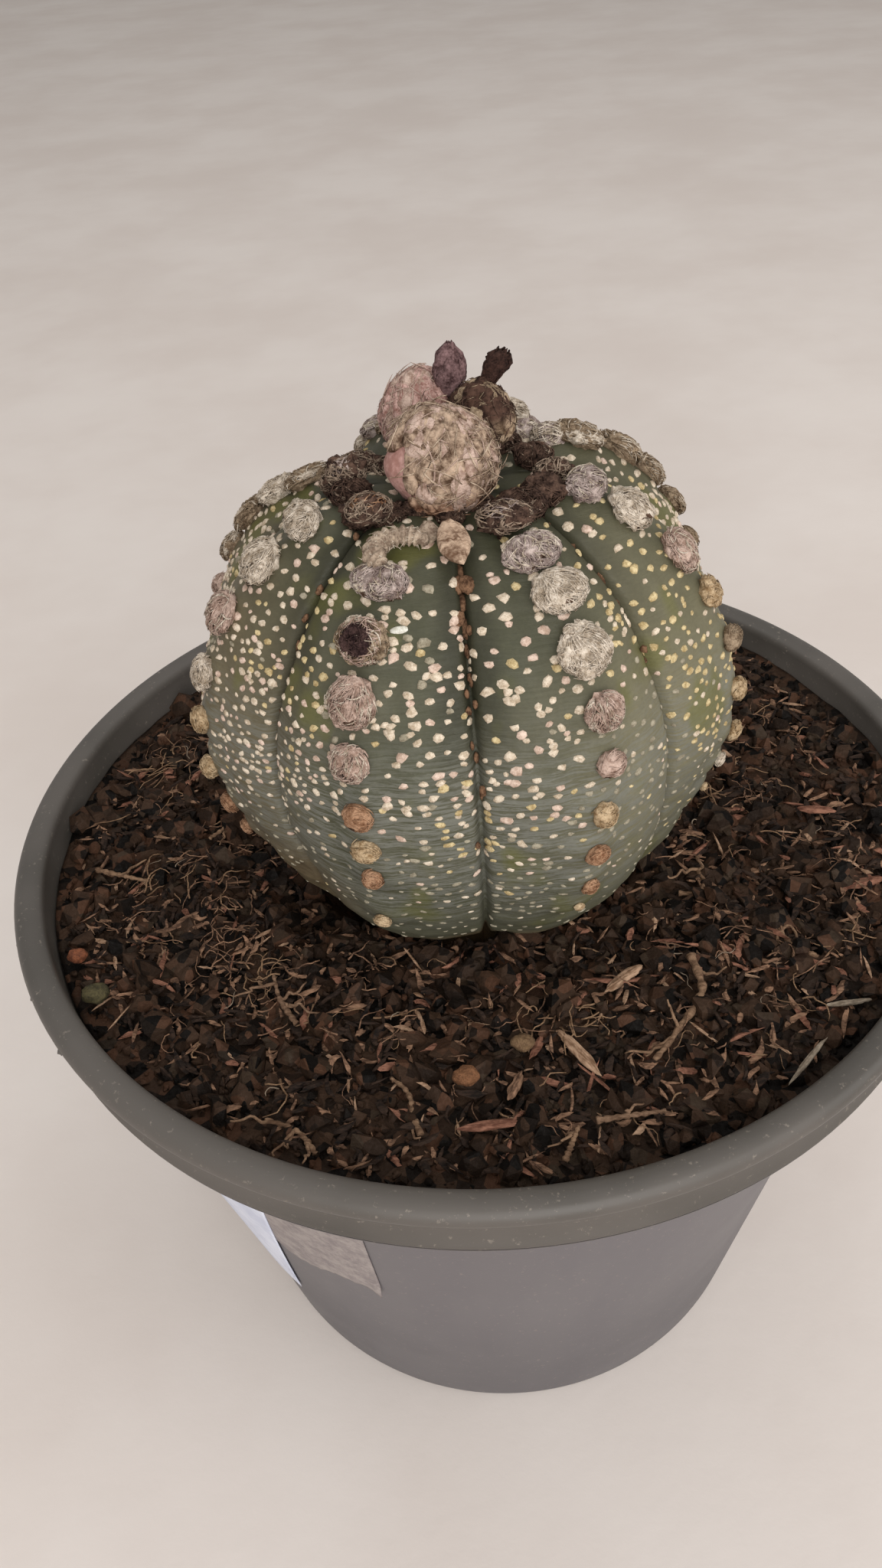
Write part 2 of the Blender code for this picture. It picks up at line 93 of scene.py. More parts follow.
# How far the ribs wander sideways, in degrees, at the elevations in DRIFT_LEVELS. Each pair of
# rows is a groove and the crest to its right.
DRIFT_LEVELS = (-20.0, 0.0, 20.0, 40.0, 60.0)
DRIFTS = (
    (0.5, 0.5, 0.5, 0.0, 0.0), (-2.5, -0.5, 3.5, 3.5, 0.5),
    (3.0, 1.0, 0.5, 0.0, -1.5), (0.0, 1.0, 2.5, 2.0, -2.5),
    (0.0, 0.0, 1.0, 0.0, -1.0), (0.0, -1.0, 0.0, 1.0, -1.0),
    (0.0, 0.0, 0.0, 0.0, 0.0), (1.0, 0.0, -1.0, 0.0, 1.0),
    (0.0, 0.0, 0.0, 0.0, 0.0), (-1.0, 0.0, 1.0, 0.0, 0.0),
    (0.0, 0.0, 0.0, 0.0, 0.0), (0.0, 0.0, 1.0, 0.0, 2.0),
    (0.0, 0.0, 0.0, 0.0, 1.0), (2.0, 0.0, -2.0, -2.0, 3.5),
    (2.5, -1.0, -2.0, -1.0, 0.0), (2.0, 1.5, -1.0, -1.5, -1.0),
)


# ---- materials

def srgb(red, green, blue):
    """A screen colour, 0 to 255, as the linear colour that a shader takes."""
    parts = [value / 255.0 for value in (red, green, blue)]
    return tuple(p / 12.92 if p <= 0.04045 else ((p + 0.055) / 1.055) ** 2.4 for p in parts) + (1.0,)


class Paint:
    """One procedural material, built node by node in object space (metres)."""

    def __init__(self, name, roughness=0.8, specular=0.5):
        self.mat = bpy.data.materials.new(name)
        self.mat.use_nodes = True
        self.nodes = self.mat.node_tree.nodes
        self.shader = self.nodes["Principled BSDF"]
        self.fill(self.shader, {"Roughness": roughness, "Specular IOR Level": specular})
        self.place = self.nodes.new("ShaderNodeTexCoord").outputs["Object"]
        self.height = None

    def fill(self, node, sockets):
        """Links each named or numbered socket to an output, or sets its value."""
        for key, value in sockets.items():
            if isinstance(value, bpy.types.NodeSocket):
                self.mat.node_tree.links.new(value, node.inputs[key])
            else:
                node.inputs[key].default_value = value

    def node(self, kind, output, sockets, **settings):
        node = self.nodes.new("ShaderNode" + kind)
        for key, value in settings.items():
            setattr(node, key, value)
        self.fill(node, sockets)
        return node.outputs[output]

    def stretched(self, x, y, z):
        return self.node("Mapping", "Vector", {"Scale": (x, y, z), "Vector": self.place})

    def noise(self, size, detail=3.0, roughness=0.55, place=None, distortion=0.0):
        """Noise whose features are about `size` metres across."""
        return self.node("TexNoise", "Fac", {
            "Scale": 1.0 / size, "Detail": detail, "Roughness": roughness, "Distortion": distortion,
            "Vector": place or self.place})

    def axis(self, name):
        return self.node("SeparateXYZ", name, {"Vector": self.place})

    def span(self, value, low, high, start=0.0, end=1.0):
        """Maps low..high of a value to start..end, smoothly and clamped."""
        return self.node("MapRange", "Result", {
            "Value": value, "From Min": low, "From Max": high, "To Min": start, "To Max": end},
            interpolation_type="SMOOTHSTEP")

    def maths(self, operation, a, b=0.0):
        return self.node("Math", 0, {0: a, 1: b}, operation=operation)

    def times(self, a, b):
        return self.maths("MULTIPLY", a, b)

    def mix(self, share, a, b, blend="MIX"):
        """Mixes two colours, each an output or a screen colour."""
        a, b = (srgb(*tone) if isinstance(tone, tuple) else tone for tone in (a, b))
        return self.node("Mix", 2, {0: share, 6: a, 7: b}, data_type="RGBA", blend_type=blend)

    def tint(self, base, share, strength, tone):
        return self.mix(self.times(share, strength), base, tone)

    def grained(self, base, share, grain, dark, light):
        """Lays fine light and dark grain over a colour."""
        return self.mix(share, base, self.mix(grain, dark, light), "SOFT_LIGHT")

    def colour(self, socket):
        self.fill(self.shader, {"Base Color": socket})

    def rough(self, socket):
        self.fill(self.shader, {"Roughness": socket})

    def bump(self, socket, depth, strength=1.0):
        """Adds a relief of about `depth` metres on top of the last one."""
        under = {"Normal": self.height} if self.height else {}
        self.height = self.node("Bump", "Normal", {
            "Strength": strength, "Distance": depth, "Height": socket, **under})
        self.fill(self.shader, {"Normal": self.height})


def mottled(name, dark, light, size, roughness, depth, specular, stretch=None):
    """A two-tone natural surface with relief."""
    paint = Paint(name, roughness, specular)
    place = paint.stretched(*stretch) if stretch else None
    broad = paint.noise(size, 4.0, 0.65, place)
    fine = paint.noise(size * 0.22, 3.0, 0.6, place)
    share = paint.maths("ADD", paint.times(broad, 0.65), paint.times(fine, 0.35))
    paint.colour(paint.mix(paint.span(share, 0.36, 0.64), dark, light))
    paint.bump(fine, depth)
    return paint.mat


def skin_material():
    paint = Paint("cactus_skin", 0.55, 0.35)
    height, across = paint.axis("Z"), paint.axis("X")

    def up(low, high, start=0.0, end=1.0):
        return paint.span(height, low * MM, high * MM, start, end)

    def sideways(low, high):
        return paint.span(across, low * MM, high * MM)

    broad = paint.noise(14.0 * MM, 3.0)
    patchy = paint.noise(5.0 * MM, 4.0, 0.6)
    speck = paint.noise(0.5 * MM, 2.0)
    scratch = paint.noise(2.2 * MM, 5.0, 0.75, paint.stretched(0.40, 0.40, 5.5), 0.8)
    green = paint.mix(paint.span(broad, 0.35, 0.65), (80, 81, 64), (94, 93, 76))
    # The crown is darker, and in the upper half painted shade darkens the valleys between the ribs.
    green = paint.tint(green, up(146.0, 158.0), 0.45, (60, 61, 42))
    turn = paint.maths("ARCTAN2", paint.maths("SUBTRACT", across, float(STEM_CENTRE[0])),
                       paint.maths("SUBTRACT", float(STEM_CENTRE[1]), paint.axis("Y")))
    phase = paint.times(paint.maths("SUBTRACT", turn, math.radians(GROOVE_AZIMUTH)), float(RIBS))
    valley_shade = paint.span(paint.maths("COSINE", phase), 0.15, 1.0)
    green = paint.tint(green, paint.times(valley_shade, up(126.0, 148.0)), 0.75, (46, 46, 32))
    # A paler grey-green bloom, weaker on the left; on the right, stronger low down, it is partly painted
    # light where that side faces the light.
    right = paint.times(sideways(7.0, 22.0), up(158.0, 132.0, 0.35, 1.0))
    green = paint.tint(green, right, 0.80, (130, 125, 100))
    green = paint.tint(green, sideways(-17.0, -34.0), 0.75, (116, 106, 84))
    # Blue-grey scuffs in the middle of the front, and a paler tone low down.
    middle = paint.times(up(146.0, 130.0), up(102.0, 112.0))
    scuff = paint.times(middle, paint.span(scratch, 0.42, 0.57))
    green = paint.tint(green, scuff, 0.85, (124, 125, 118))
    green = paint.tint(green, up(120.0, 104.0), 0.5, (104, 104, 86))
    # Yellow-green patches.
    sunny = paint.span(paint.noise(12.0 * MM, 2.0, 0.5, paint.stretched(1.0, 1.0, 0.7)), 0.57, 0.68)
    green = paint.tint(green, sunny, 0.6, (106, 106, 52))
    # Brown cork at the left of the base and round it, and the paler root below.
    cork = paint.times(sideways(-13.0, -26.0), up(122.0, 109.0))
    brown = paint.mix(paint.span(patchy, 0.35, 0.65), (106, 88, 64), (128, 112, 86))
    green = paint.tint(green, paint.maths("MAXIMUM", cork, up(103.5, 99.5)), 0.8, brown)
    green = paint.mix(up(98.0, 92.0), green, (150, 122, 88))
    paint.colour(paint.grained(green, 0.35, speck, (60, 58, 50), (190, 186, 170)))
    paint.rough(paint.span(patchy, 0.3, 0.7, 0.5, 0.68))
    paint.bump(broad, 0.5 * MM, 0.6)
    paint.bump(scratch, 0.14 * MM, 0.8)
    paint.bump(speck, 0.04 * MM, 0.7)
    return paint.mat


def pot_material():
    paint = Paint("pot_plastic", 0.45, 0.5)
    height = paint.axis("Z")
    broad = paint.noise(28.0 * MM, 3.0)
    dust = paint.noise(0.9 * MM, 5.0, 0.7)
    bands = paint.noise(11.0 * MM, 3.0, 0.5, paint.stretched(1.0, 1.0, 0.06))
    grain = paint.noise(0.35 * MM, 2.0)
    patches = paint.span(broad, 0.35, 0.65)
    grey = paint.mix(patches, (97, 93, 96), (105, 101, 103))
    grey = paint.tint(grey, paint.span(bands, 0.40, 0.62), 0.35, (93, 89, 94))
    # Painted shade: the wall is darkened towards the bottom, near the floor.
    grey = paint.tint(grey, paint.span(height, 52.0 * MM, 12.0 * MM), 0.5, (80, 77, 80))
    # Painted shade: the rim and collar are painted darker and warmer than the wall, though they are the same
    # plastic.
    rim_shade = paint.span(height, POT_HEIGHT - 11.0 * MM, POT_HEIGHT - 9.6 * MM)
    grey = paint.mix(rim_shade, grey, paint.mix(patches, (76, 72, 67), (90, 85, 80)))
    paint.colour(paint.tint(grey, paint.span(dust, 0.60, 0.70), 0.5, (150, 140, 128)))
    paint.rough(paint.span(broad, 0.3, 0.7, 0.40, 0.54))
    paint.bump(broad, 0.25 * MM, 0.4)
    paint.bump(grain, 0.02 * MM, 0.6)
    return paint.mat


def soil_material():
    paint = Paint("soil", 0.85, 0.12)
    cell = paint.node("TexVoronoi", "Color", {"Scale": 1.0 / (1.9 * MM), "Vector": paint.place})
    red, green, blue = (paint.node("SeparateColor", part, {"Color": cell}) for part in range(3))
    grain = paint.noise(0.6 * MM, 4.0, 0.65)
    peat = paint.mix(paint.span(red, 0.1, 0.9), (16, 12, 9), (68, 52, 41))
    peat = paint.mix(paint.span(green, 0.78, 0.97), peat, (86, 62, 48))
    peat = paint.mix(paint.span(blue, 0.86, 0.97), peat, (66, 55, 45))
    paint.colour(paint.grained(peat, 0.6, grain, (30, 26, 22), (200, 190, 180)))
    paint.rough(paint.span(grain, 0.3, 0.7, 0.85, 0.45))
    paint.bump(grain, 0.25 * MM)
    return paint.mat


def lobe_material(name, low_tones, high_tones, bottom, top):
    """Dry wool whose colour changes with height, between bottom and top (mm)."""
    paint = Paint(name, 0.95, 0.1)
    clump = paint.noise(1.4 * MM, 4.0, 0.6)
    fine = paint.noise(0.35 * MM, 3.0, 0.6)
    share = paint.span(clump, 0.34, 0.64)
    reach = paint.span(paint.axis("Z"), bottom * MM, top * MM)
    paint.colour(paint.mix(reach, paint.mix(share, *low_tones), paint.mix(share, *high_tones)))
    paint.bump(clump, 0.35 * MM)
    paint.bump(fine, 0.12 * MM, 0.7)
    return paint.mat


def floor_material():
    paint = Paint("floor", 0.75, 0.2)
    broad = paint.noise(120.0 * MM, 4.0, 0.6)
    paint.colour(paint.mix(paint.span(broad, 0.3, 0.7), (222, 212, 205), (231, 223, 217)))
    paint.bump(paint.noise(6.0 * MM, 4.0, 0.6), 0.1 * MM)
    return paint.mat


# ---- mesh helpers

def unit(rows):
    """Vectors scaled to length 1."""
    return rows / np.maximum(np.linalg.norm(rows, axis=-1), 1e-9)[..., None]


def box(name):
    """Low and high corner of a CAD node's box."""
    return [np.array(corner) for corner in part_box(name)]


def nodes_named(*starts):
    """Numbered CAD node names that begin with one of some words."""
    return enumerate(sorted(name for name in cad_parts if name.startswith(starts)))


def node_points(name):
    return np.array([v.co[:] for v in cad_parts[name].data.vertices])


def outward(turn, reach=1.0, height=0.0):
    """Points at an angle (radians, from the front towards +X), a reach and a height."""
    return np.stack(np.broadcast_arrays(np.sin(turn) * reach, -np.cos(turn) * reach, height), -1)


def thinned(count):
    return count


def linked(name, data):
    obj = bpy.data.objects.new(name, data)
    bpy.context.scene.collection.objects.link(obj)
    return obj


def new_piece(name, verts, faces, mats, slot, replaced=(), smooth=True, face_mats=None):
    """A mesh object that rides on the frame, and may stand for some CAD nodes."""
    mesh = bpy.data.meshes.new(name)
    mesh.from_pydata(np.asarray(verts).reshape(-1, 3).tolist(), [], faces)
    for mat in mats if isinstance(mats, (list, tuple)) else [mats]:
        mesh.materials.append(mat)
    mesh.polygons.foreach_set("use_smooth", [smooth] * len(mesh.polygons))
    if face_mats is not None:
        mesh.polygons.foreach_set("material_index", np.asarray(face_mats, dtype=np.int32))
    mesh.update()
    obj = linked(name, mesh)
    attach(obj, "root")
    if replaced:
        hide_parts(*replaced)
    return obj


def thicken(obj, thickness):
    """Gives a sheet its thickness, half to each side."""
    thick = obj.modifiers.new("thickness", "SOLIDIFY")
    thick.thickness = thickness
    thick.offset = 0.0


def face_out(obj, merge=None):
    """Makes the faces look outward, after joining verts that meet."""
    bm = bmesh.new()
    bm.from_mesh(obj.data)
    if merge:
        bmesh.ops.remove_doubles(bm, verts=bm.verts[:], dist=merge)
    bmesh.ops.recalc_face_normals(bm, faces=bm.faces[:])
    bm.to_mesh(obj.data)
    bm.free()


def grid_faces(rows, columns, wrap=True, start=0):
    """Quads of a grid whose rows run one after another."""
    faces = []
    last = columns if wrap else columns - 1
    for row in range(rows - 1):
        for i in range(last):
            j = (i + 1) % columns
            a = start + row * columns
            faces.append((a + i, a + j, a + columns + j, a + columns + i))
    return faces


def copies(template, faces, frames, places):
    """Verts and faces of many copies of a template, each with its own 3x3 frame and place."""
    verts = np.einsum("nij,nvj->nvi", frames, template) + places[:, None, :]
    count = template.shape[1]
    out = []
    for n in range(len(places)):
        out.extend([tuple(index + n * count for index in face) for face in faces])
    return verts.reshape(-1, 3), out


def random_turns(count):
    """Random rotation matrices."""
    w, x, y, z = unit(rng.normal(size=(count, 4))).T
    return np.stack([
        np.stack([1 - 2 * (y * y + z * z), 2 * (x * y - z * w), 2 * (x * z + y * w)], 1),
        np.stack([2 * (x * y + z * w), 1 - 2 * (x * x + z * z), 2 * (y * z - x * w)], 1),
        np.stack([2 * (x * z - y * w), 2 * (y * z + x * w), 1 - 2 * (x * x + y * y)], 1)], 1)


def frames_along(axes, up=(0.0, 0.0, 1.0)):
    """3x3 frames whose third axis is the given one and whose second runs up the surface."""
    third = unit(axes)
    first = unit(np.cross(np.broadcast_to(np.asarray(up, float), third.shape), third))
    return np.stack([first, np.cross(third, first), third], 2)


def tubes(points, radii, sides=3):
    """Verts and faces of many thin tubes. points is (tubes, knots, 3), radii (tubes, knots)."""
    along = unit(np.gradient(points, axis=1))
    helper = np.where(np.abs(along[..., 2:3]) > 0.8, [[[1.0, 0.0, 0.0]]], [[[0.0, 0.0, 1.0]]])
    first = unit(np.cross(along, helper))
    second = np.cross(along, first)
    rings = []
    for side in range(sides):
        turn = math.tau * side / sides
        rings.append(points + (first * math.cos(turn) + second * math.sin(turn)) * radii[..., None])
    count, knots = radii.shape
    faces = []
    for start in range(0, count * knots * sides, knots * sides):
        faces.extend(grid_faces(knots, sides, True, start))
        faces.append(tuple(start + i for i in reversed(range(sides))))
        faces.append(tuple(start + (knots - 1) * sides + i for i in range(sides)))
    return np.stack(rings, 2).reshape(-1, 3), faces


def hairs(roots, heading, length, radius, curl, knots=4):
    """Curved woolly strands that grow from roots and lean down."""
    count = len(roots)
    down = np.array([0.0, 0.0, -0.3])
    heading = unit(heading + rng.normal(scale=curl, size=(count, 3)) + down)
    bend = rng.normal(scale=curl, size=(count, 3)) + down
    size = length * rng.uniform(0.5, 1.2, count)
    points = [roots + (heading * share + bend * share * share * 0.5) * size[:, None]
              for share in np.arange(knots) / (knots - 1)]
    return tubes(np.stack(points, 1), np.outer(np.full(count, radius), np.linspace(1.0, 0.35, knots)))


def merged(groups):
    """Joins several (verts, faces) into one."""
    faces = []
    start = 0
    for verts, group_faces in groups:
        faces.extend([tuple(index + start for index in face) for face in group_faces])
        start += len(verts)
    return np.concatenate([np.asarray(verts) for verts, _ in groups]), faces


def ball(segments, rings):
    """Unit sphere as verts and faces, pole to pole along Z."""
    verts = [(0.0, 0.0, -1.0)]
    for ring in range(1, rings):
        rise = -math.pi / 2 + math.pi * ring / rings
        for i in range(segments):
            turn = math.tau * i / segments
            verts.append((math.cos(rise) * math.cos(turn), math.cos(rise) * math.sin(turn), math.sin(rise)))
    verts.append((0.0, 0.0, 1.0))
    faces = []
    for i in range(segments):
        j = (i + 1) % segments
        faces.append((0, 1 + j, 1 + i))
        top = 1 + (rings - 2) * segments
        faces.append((top + i, top + j, len(verts) - 1))
    faces.extend(grid_faces(rings - 1, segments, True, 1))
    return np.array(verts), faces


def lumpy(verts, size, amount, seed):
    """Pushes a unit shape's verts in and out by noise."""
    out = []
    shift = Vector((seed * 3.1, seed * 1.7, seed * 0.9))
    for vert in verts:
        point = Vector(vert)
        push = noise.noise(point / size + shift) + 0.5 * noise.noise(point * 2.3 / size + shift)
        out.append(point * (1.0 + amount * push))
    return np.array(out)


WAVES = 7


def waves(points, size, seed):
    """Smooth random undulation between about -1 and 1."""
    local = np.random.default_rng(seed)
    total = np.zeros(points.shape[:-1])
    for _ in range(WAVES):
        direction = unit(local.normal(size=3))
        phase = points @ direction * math.tau / (size * local.uniform(0.7, 1.5))
        total += np.sin(phase + local.uniform(0, 6.3))
    return total / WAVES * 1.6


# ---- plant

def drifted(azimuth, elevation):
    """The true azimuth of a place that is named by its share of a rib."""
    azimuth = np.asarray(azimuth, float)
    steps = np.mod(azimuth - GROOVE_AZIMUTH, 360.0) / (SECTOR / 2)
    low = np.floor(steps).astype(int) % (2 * RIBS)
    share = steps - np.floor(steps)
    share = share * share * (3 - 2 * share)
    table = np.array([np.interp(elevation, DRIFT_LEVELS, row) for row in DRIFTS])
    table = np.broadcast_to(table.reshape(2 * RIBS, -1), (2 * RIBS, azimuth.size))
    index = np.arange(azimuth.size)
    a = table[low.ravel(), index]
    b = table[(low.ravel() + 1) % (2 * RIBS), index]
    return azimuth + (a + (b - a) * share.ravel()).reshape(azimuth.shape)


def rib_share(azimuth, elevation):
    """0 in a groove, 1 on a crest. Flatter faces low down, rounder ribs at the crown."""
    offset = np.mod(azimuth - GROOVE_AZIMUTH, SECTOR) / SECTOR
    power = np.interp(elevation, [-45, -15, 20, 50, 80], [1.15, 0.95, 0.80, 0.95, 1.0])
    return np.sin(math.pi * offset) ** power


def groove_depth(elevation):
    return np.interp(elevation, [-45, -20, 10, 40, 62, 76, 88], [2.6, 2.8, 3.1, 4.1, 6.2, 5.4, 1.2]) * MM


def bump_at(value, centre, width):
    return np.exp(-((value - centre) / width) ** 2)


def around(azimuth, centre):
    """Degrees past a centre, from -180 to 180."""
    return np.mod(azimuth - centre + 180.0, 360.0) - 180.0


def near(azimuth, centre, width):
    return bump_at(around(azimuth, centre), 0.0, width)


def from_groove(azimuth):
    """Degrees from the nearest groove."""
    return around(azimuth * RIBS, GROOVE_AZIMUTH * RIBS) / RIBS


def stem_point(turn, reach, height):
    return STEM_CENTRE + outward(turn, reach, height)


def body_point(azimuth, elevation):
    """The green body without its fine relief: ribs, sunken crown and a few uneven shoulders."""
    azimuth, elevation = np.broadcast_arrays(np.asarray(azimuth, float), np.asarray(elevation, float))
    true = drifted(azimuth, elevation)
    low_shoulder = -3.0 * MM * near(true, -122.0, 25.0) * bump_at(elevation, 60.0, 19.0)
    narrow = near(true, 70.0, 32.0) + near(true, -74.0, 30.0)
    uneven = low_shoulder - 1.8 * MM * narrow * bump_at(elevation, -17.0, 17.0)
    rise = np.radians(elevation)
    radius = CREST_RADIUS + uneven - groove_depth(elevation) * (1.0 - rib_share(azimuth, elevation))
    reach = radius * np.cos(rise)
    height = (HALF_HEIGHT + uneven) * np.sin(rise)
    height = height - np.where(rise > 0, CROWN_DEPTH * np.exp(-(reach / CROWN_WIDTH) ** 2), 0.0)
    return stem_point(np.radians(true), reach, height)


def areole_places():
    """Rib, index from the crown, azimuth and elevation of every areole."""
    local = np.random.default_rng(3)
    places = []
    for rib, levels in enumerate(AREOLE_LEVELS):
        azimuth = GROOVE_AZIMUTH + (rib + 0.5) * SECTOR
        for index, level in enumerate(levels):
            places.append((rib, index, azimuth + local.uniform(-0.6, 0.6), level + local.uniform(-0.4, 0.4)))
    return places


AREOLES = areole_places()
AREOLE_POINTS = body_point([a[2] for a in AREOLES], [a[3] for a in AREOLES])


def skin_point(azimuth, elevation):
    """The living surface: the body with its creases, swellings and dents."""
    azimuth, elevation = np.broadcast_arrays(np.asarray(azimuth, float), np.asarray(elevation, float))
    point = body_point(azimuth, elevation)
    flat = point.reshape(-1, 3)
    nearest = np.full(len(flat), 1.0)
    for place in AREOLE_POINTS:
        nearest = np.minimum(nearest, np.linalg.norm(flat - place, axis=1))
    nearest = nearest.reshape(point.shape[:-1])
    push = 0.8 * MM * bump_at(nearest, 0.0, 3.4 * MM) - 0.35 * MM * bump_at(nearest, 4.6 * MM, 1.4 * MM)
    crease = np.clip((76.0 - elevation) / 16.0, 0.0, 1.0)
    push = push - 1.5 * MM * bump_at(from_groove(azimuth), 0.0, 0.95) * crease
    push = push + 0.30 * MM * waves(point, 17.0 * MM, 11)
    push = push + 0.10 * MM * waves(point * [1.0, 1.0, 1.6], 4.5 * MM, 12)
    wrinkle = np.clip((8.0 - elevation) / 22.0, 0.0, 1.0)
    push = push + wrinkle * 0.13 * MM * waves(point * [0.3, 0.3, 1.0], 2.6 * MM, 13)
    return point + unit(point - STEM_CENTRE) * push[..., None]


def skin_normal(azimuth, elevation):
    step = 0.35
    side = skin_point(azimuth + step, elevation) - skin_point(azimuth - step, elevation)
    rise = skin_point(azimuth, elevation + step) - skin_point(azimuth, elevation - step)
    return unit(np.cross(side, rise))


def skin_frame(azimuth, elevation):
    """A place on the skin, and the frame that stands on it."""
    azimuth, elevation = np.array([azimuth]), np.array([elevation])
    return skin_point(azimuth, elevation)[0], frames_along(skin_normal(azimuth, elevation))[0]


BURIED = ((46.0, 0.8, 0.0), (56.0, 3.0, 0.0), (68.0, 6.5, 0.0), (77.0, 13.0, 0.2), (84.0, 20.5, 0.5),
          (89.5, 24.8, 0.8))      # height, crest radius (mm) and ribbing of the base and tap root


def buried_ring(azimuth, row, grow=0.0):
    z, radius, ribbing = row
    level = np.full_like(azimuth, -45.0)
    reach = radius * MM - groove_depth(level) * ribbing * (1.0 - rib_share(azimuth, level)) + grow
    ring = stem_point(np.radians(azimuth), reach, 0.0)
    ring[:, 2] = z * MM
    return ring


def build_skin():
    share = np.arange(36) / 36
    across = SECTOR * (share - np.sin(math.tau * share) / math.tau * 0.62)
    azimuth = np.concatenate([GROOVE_AZIMUTH + rib * SECTOR + across for rib in range(RIBS)])
    rings = [buried_ring(azimuth, row) for row in BURIED]
    for elevation in np.concatenate([np.linspace(-50.0, 78.0, 150), np.linspace(79.0, 89.0, 9)]):
        rings.append(skin_point(azimuth, np.full_like(azimuth, elevation)))
    columns = len(azimuth)
    verts = np.concatenate(rings)
    faces = grid_faces(len(rings), columns)
    verts = np.concatenate([verts, rings[0].mean(0)[None], rings[-1].mean(0)[None]])
    low, high = len(verts) - 2, len(verts) - 1
    start = (len(rings) - 1) * columns
    for i in range(columns):
        j = (i + 1) % columns
        faces.append((low, j, i))
        faces.append((high, start + i, start + j))
    new_piece("stem_skin", verts, faces, skin_material(), "cactus_skin", ["cactus_stem"])


# Spacing and half width of the flecks in mm, by azimuth (columns) and elevation (rows).
FLECK_AZIMUTHS = (-90, -67, -45, -34, -21, -10, 1, 12, 24, 36, 46, 68, 90, 180, 270)
FLECK_LEVELS = (-30, -12, 10, 35, 60, 80)
FLECK_SPACING = (
    (2.6, 2.8, 5.0, 6.0, 4.0, 2.3, 2.6, 2.2, 3.5, 4.0, 4.0, 3.0, 2.5, 2.5, 2.6),
    (1.6, 1.7, 2.4, 2.8, 2.0, 1.6, 1.6, 1.7, 2.2, 2.4, 2.2, 1.9, 1.8, 1.8, 1.6),
    (1.4, 1.35, 1.45, 1.55, 2.0, 2.2, 1.6, 1.9, 2.2, 2.2, 1.75, 1.65, 1.7, 1.8, 1.4),
    (1.5, 1.4, 1.5, 1.6, 1.9, 2.15, 2.1, 2.0, 2.1, 1.85, 1.8, 1.9, 1.8, 1.9, 1.5),
    (2.2, 2.2, 2.4, 2.5, 2.8, 2.8, 2.7, 2.7, 2.7, 2.4, 2.4, 2.5, 2.4, 2.4, 2.2),
    (3.2,) * 15,
)
FLECK_SIZES = (
    (0.30, 0.30, 0.30, 0.30, 0.29, 0.29, 0.34, 0.29, 0.30, 0.30, 0.30, 0.32, 0.34, 0.34, 0.30),
    (0.38, 0.36, 0.36, 0.35, 0.35, 0.35, 0.44, 0.38, 0.35, 0.34, 0.34, 0.38, 0.42, 0.42, 0.38),
    (0.48, 0.46, 0.46, 0.48, 0.52, 0.54, 0.56, 0.56, 0.50, 0.44, 0.44, 0.46, 0.52, 0.54, 0.48),
    (0.52, 0.50, 0.50, 0.52, 0.58, 0.64, 0.62, 0.60, 0.56, 0.52, 0.52, 0.54, 0.56, 0.58, 0.52),
    (0.58, 0.58, 0.60, 0.62, 0.66, 0.68, 0.62, 0.64, 0.62, 0.60, 0.60, 0.62, 0.62, 0.62, 0.58),
    (0.60,) * 15,
)


def look_up(table, azimuth, elevation):
    """Smooth value of one of the tables above."""
    azimuth = np.mod(azimuth + 90.0, 360.0) - 90.0
    rows = np.array([np.interp(azimuth, FLECK_AZIMUTHS, row) for row in table])
    steps = np.interp(elevation, FLECK_LEVELS, np.arange(len(FLECK_LEVELS)))
    low = np.minimum(steps.astype(int), len(FLECK_LEVELS) - 2)
    share = steps - low
    index = np.arange(len(steps))
    return rows[low, index] * (1 - share) + rows[low + 1, index] * share


def fleck_places():
    """Azimuth, elevation and size of the woolly flecks, spaced by a dart throw."""
    tries = 42000
    azimuth = rng.uniform(0.0, 360.0, tries)
    sines = rng.uniform(math.sin(math.radians(-36.0)), math.sin(math.radians(80.0)), tries)
    elevation = np.degrees(np.arcsin(sines))
    point = body_point(azimuth, elevation)
    uneven = 1.0 + 0.22 * waves(point, 9.0 * MM, 21)
    spacing = 0.93 * look_up(FLECK_SPACING, azimuth, elevation) * MM * uneven
    blocked = np.abs(from_groove(azimuth)) * np.cos(np.radians(elevation)) < 1.0
    for place in AREOLE_POINTS:
        blocked |= np.linalg.norm(point - place, axis=1) < 2.9 * MM
    kept = np.zeros((tries, 3))
    chosen = []
    for i in np.flatnonzero(~blocked):
        count = len(chosen)
        gaps = kept[:count] - point[i]
        if count and np.min(np.einsum("ij,ij->i", gaps, gaps)) < spacing[i] ** 2:
            continue
        kept[count] = point[i]
        chosen.append(i)
    azimuth, elevation = azimuth[chosen], elevation[chosen]
    # Some flecks have one or two twins stacked against them, mostly on the front faces.
    front = near(azimuth, 0.0, 40.0) * np.clip((elevation + 5.0) / 15.0, 0.0, 1.0)
    twins = rng.uniform(size=len(azimuth)) < 0.12 + 0.26 * front
    drop = rng.uniform(1.35, 1.65, twins.sum())
    lean = rng.normal(scale=0.6, size=twins.sum())
    second = (azimuth[twins] + lean, elevation[twins] - drop)
    triple = rng.uniform(size=twins.sum()) < 0.3
    third = (second[0][triple] + rng.normal(scale=0.5, size=triple.sum()), second[1][triple] - drop[triple])
    azimuth = np.concatenate([azimuth, second[0], third[0]])
    elevation = np.concatenate([elevation, second[1], third[1]])
    size = look_up(FLECK_SIZES, azimuth, elevation) * MM
    return azimuth, elevation, size * rng.uniform(0.72, 1.38, len(size))


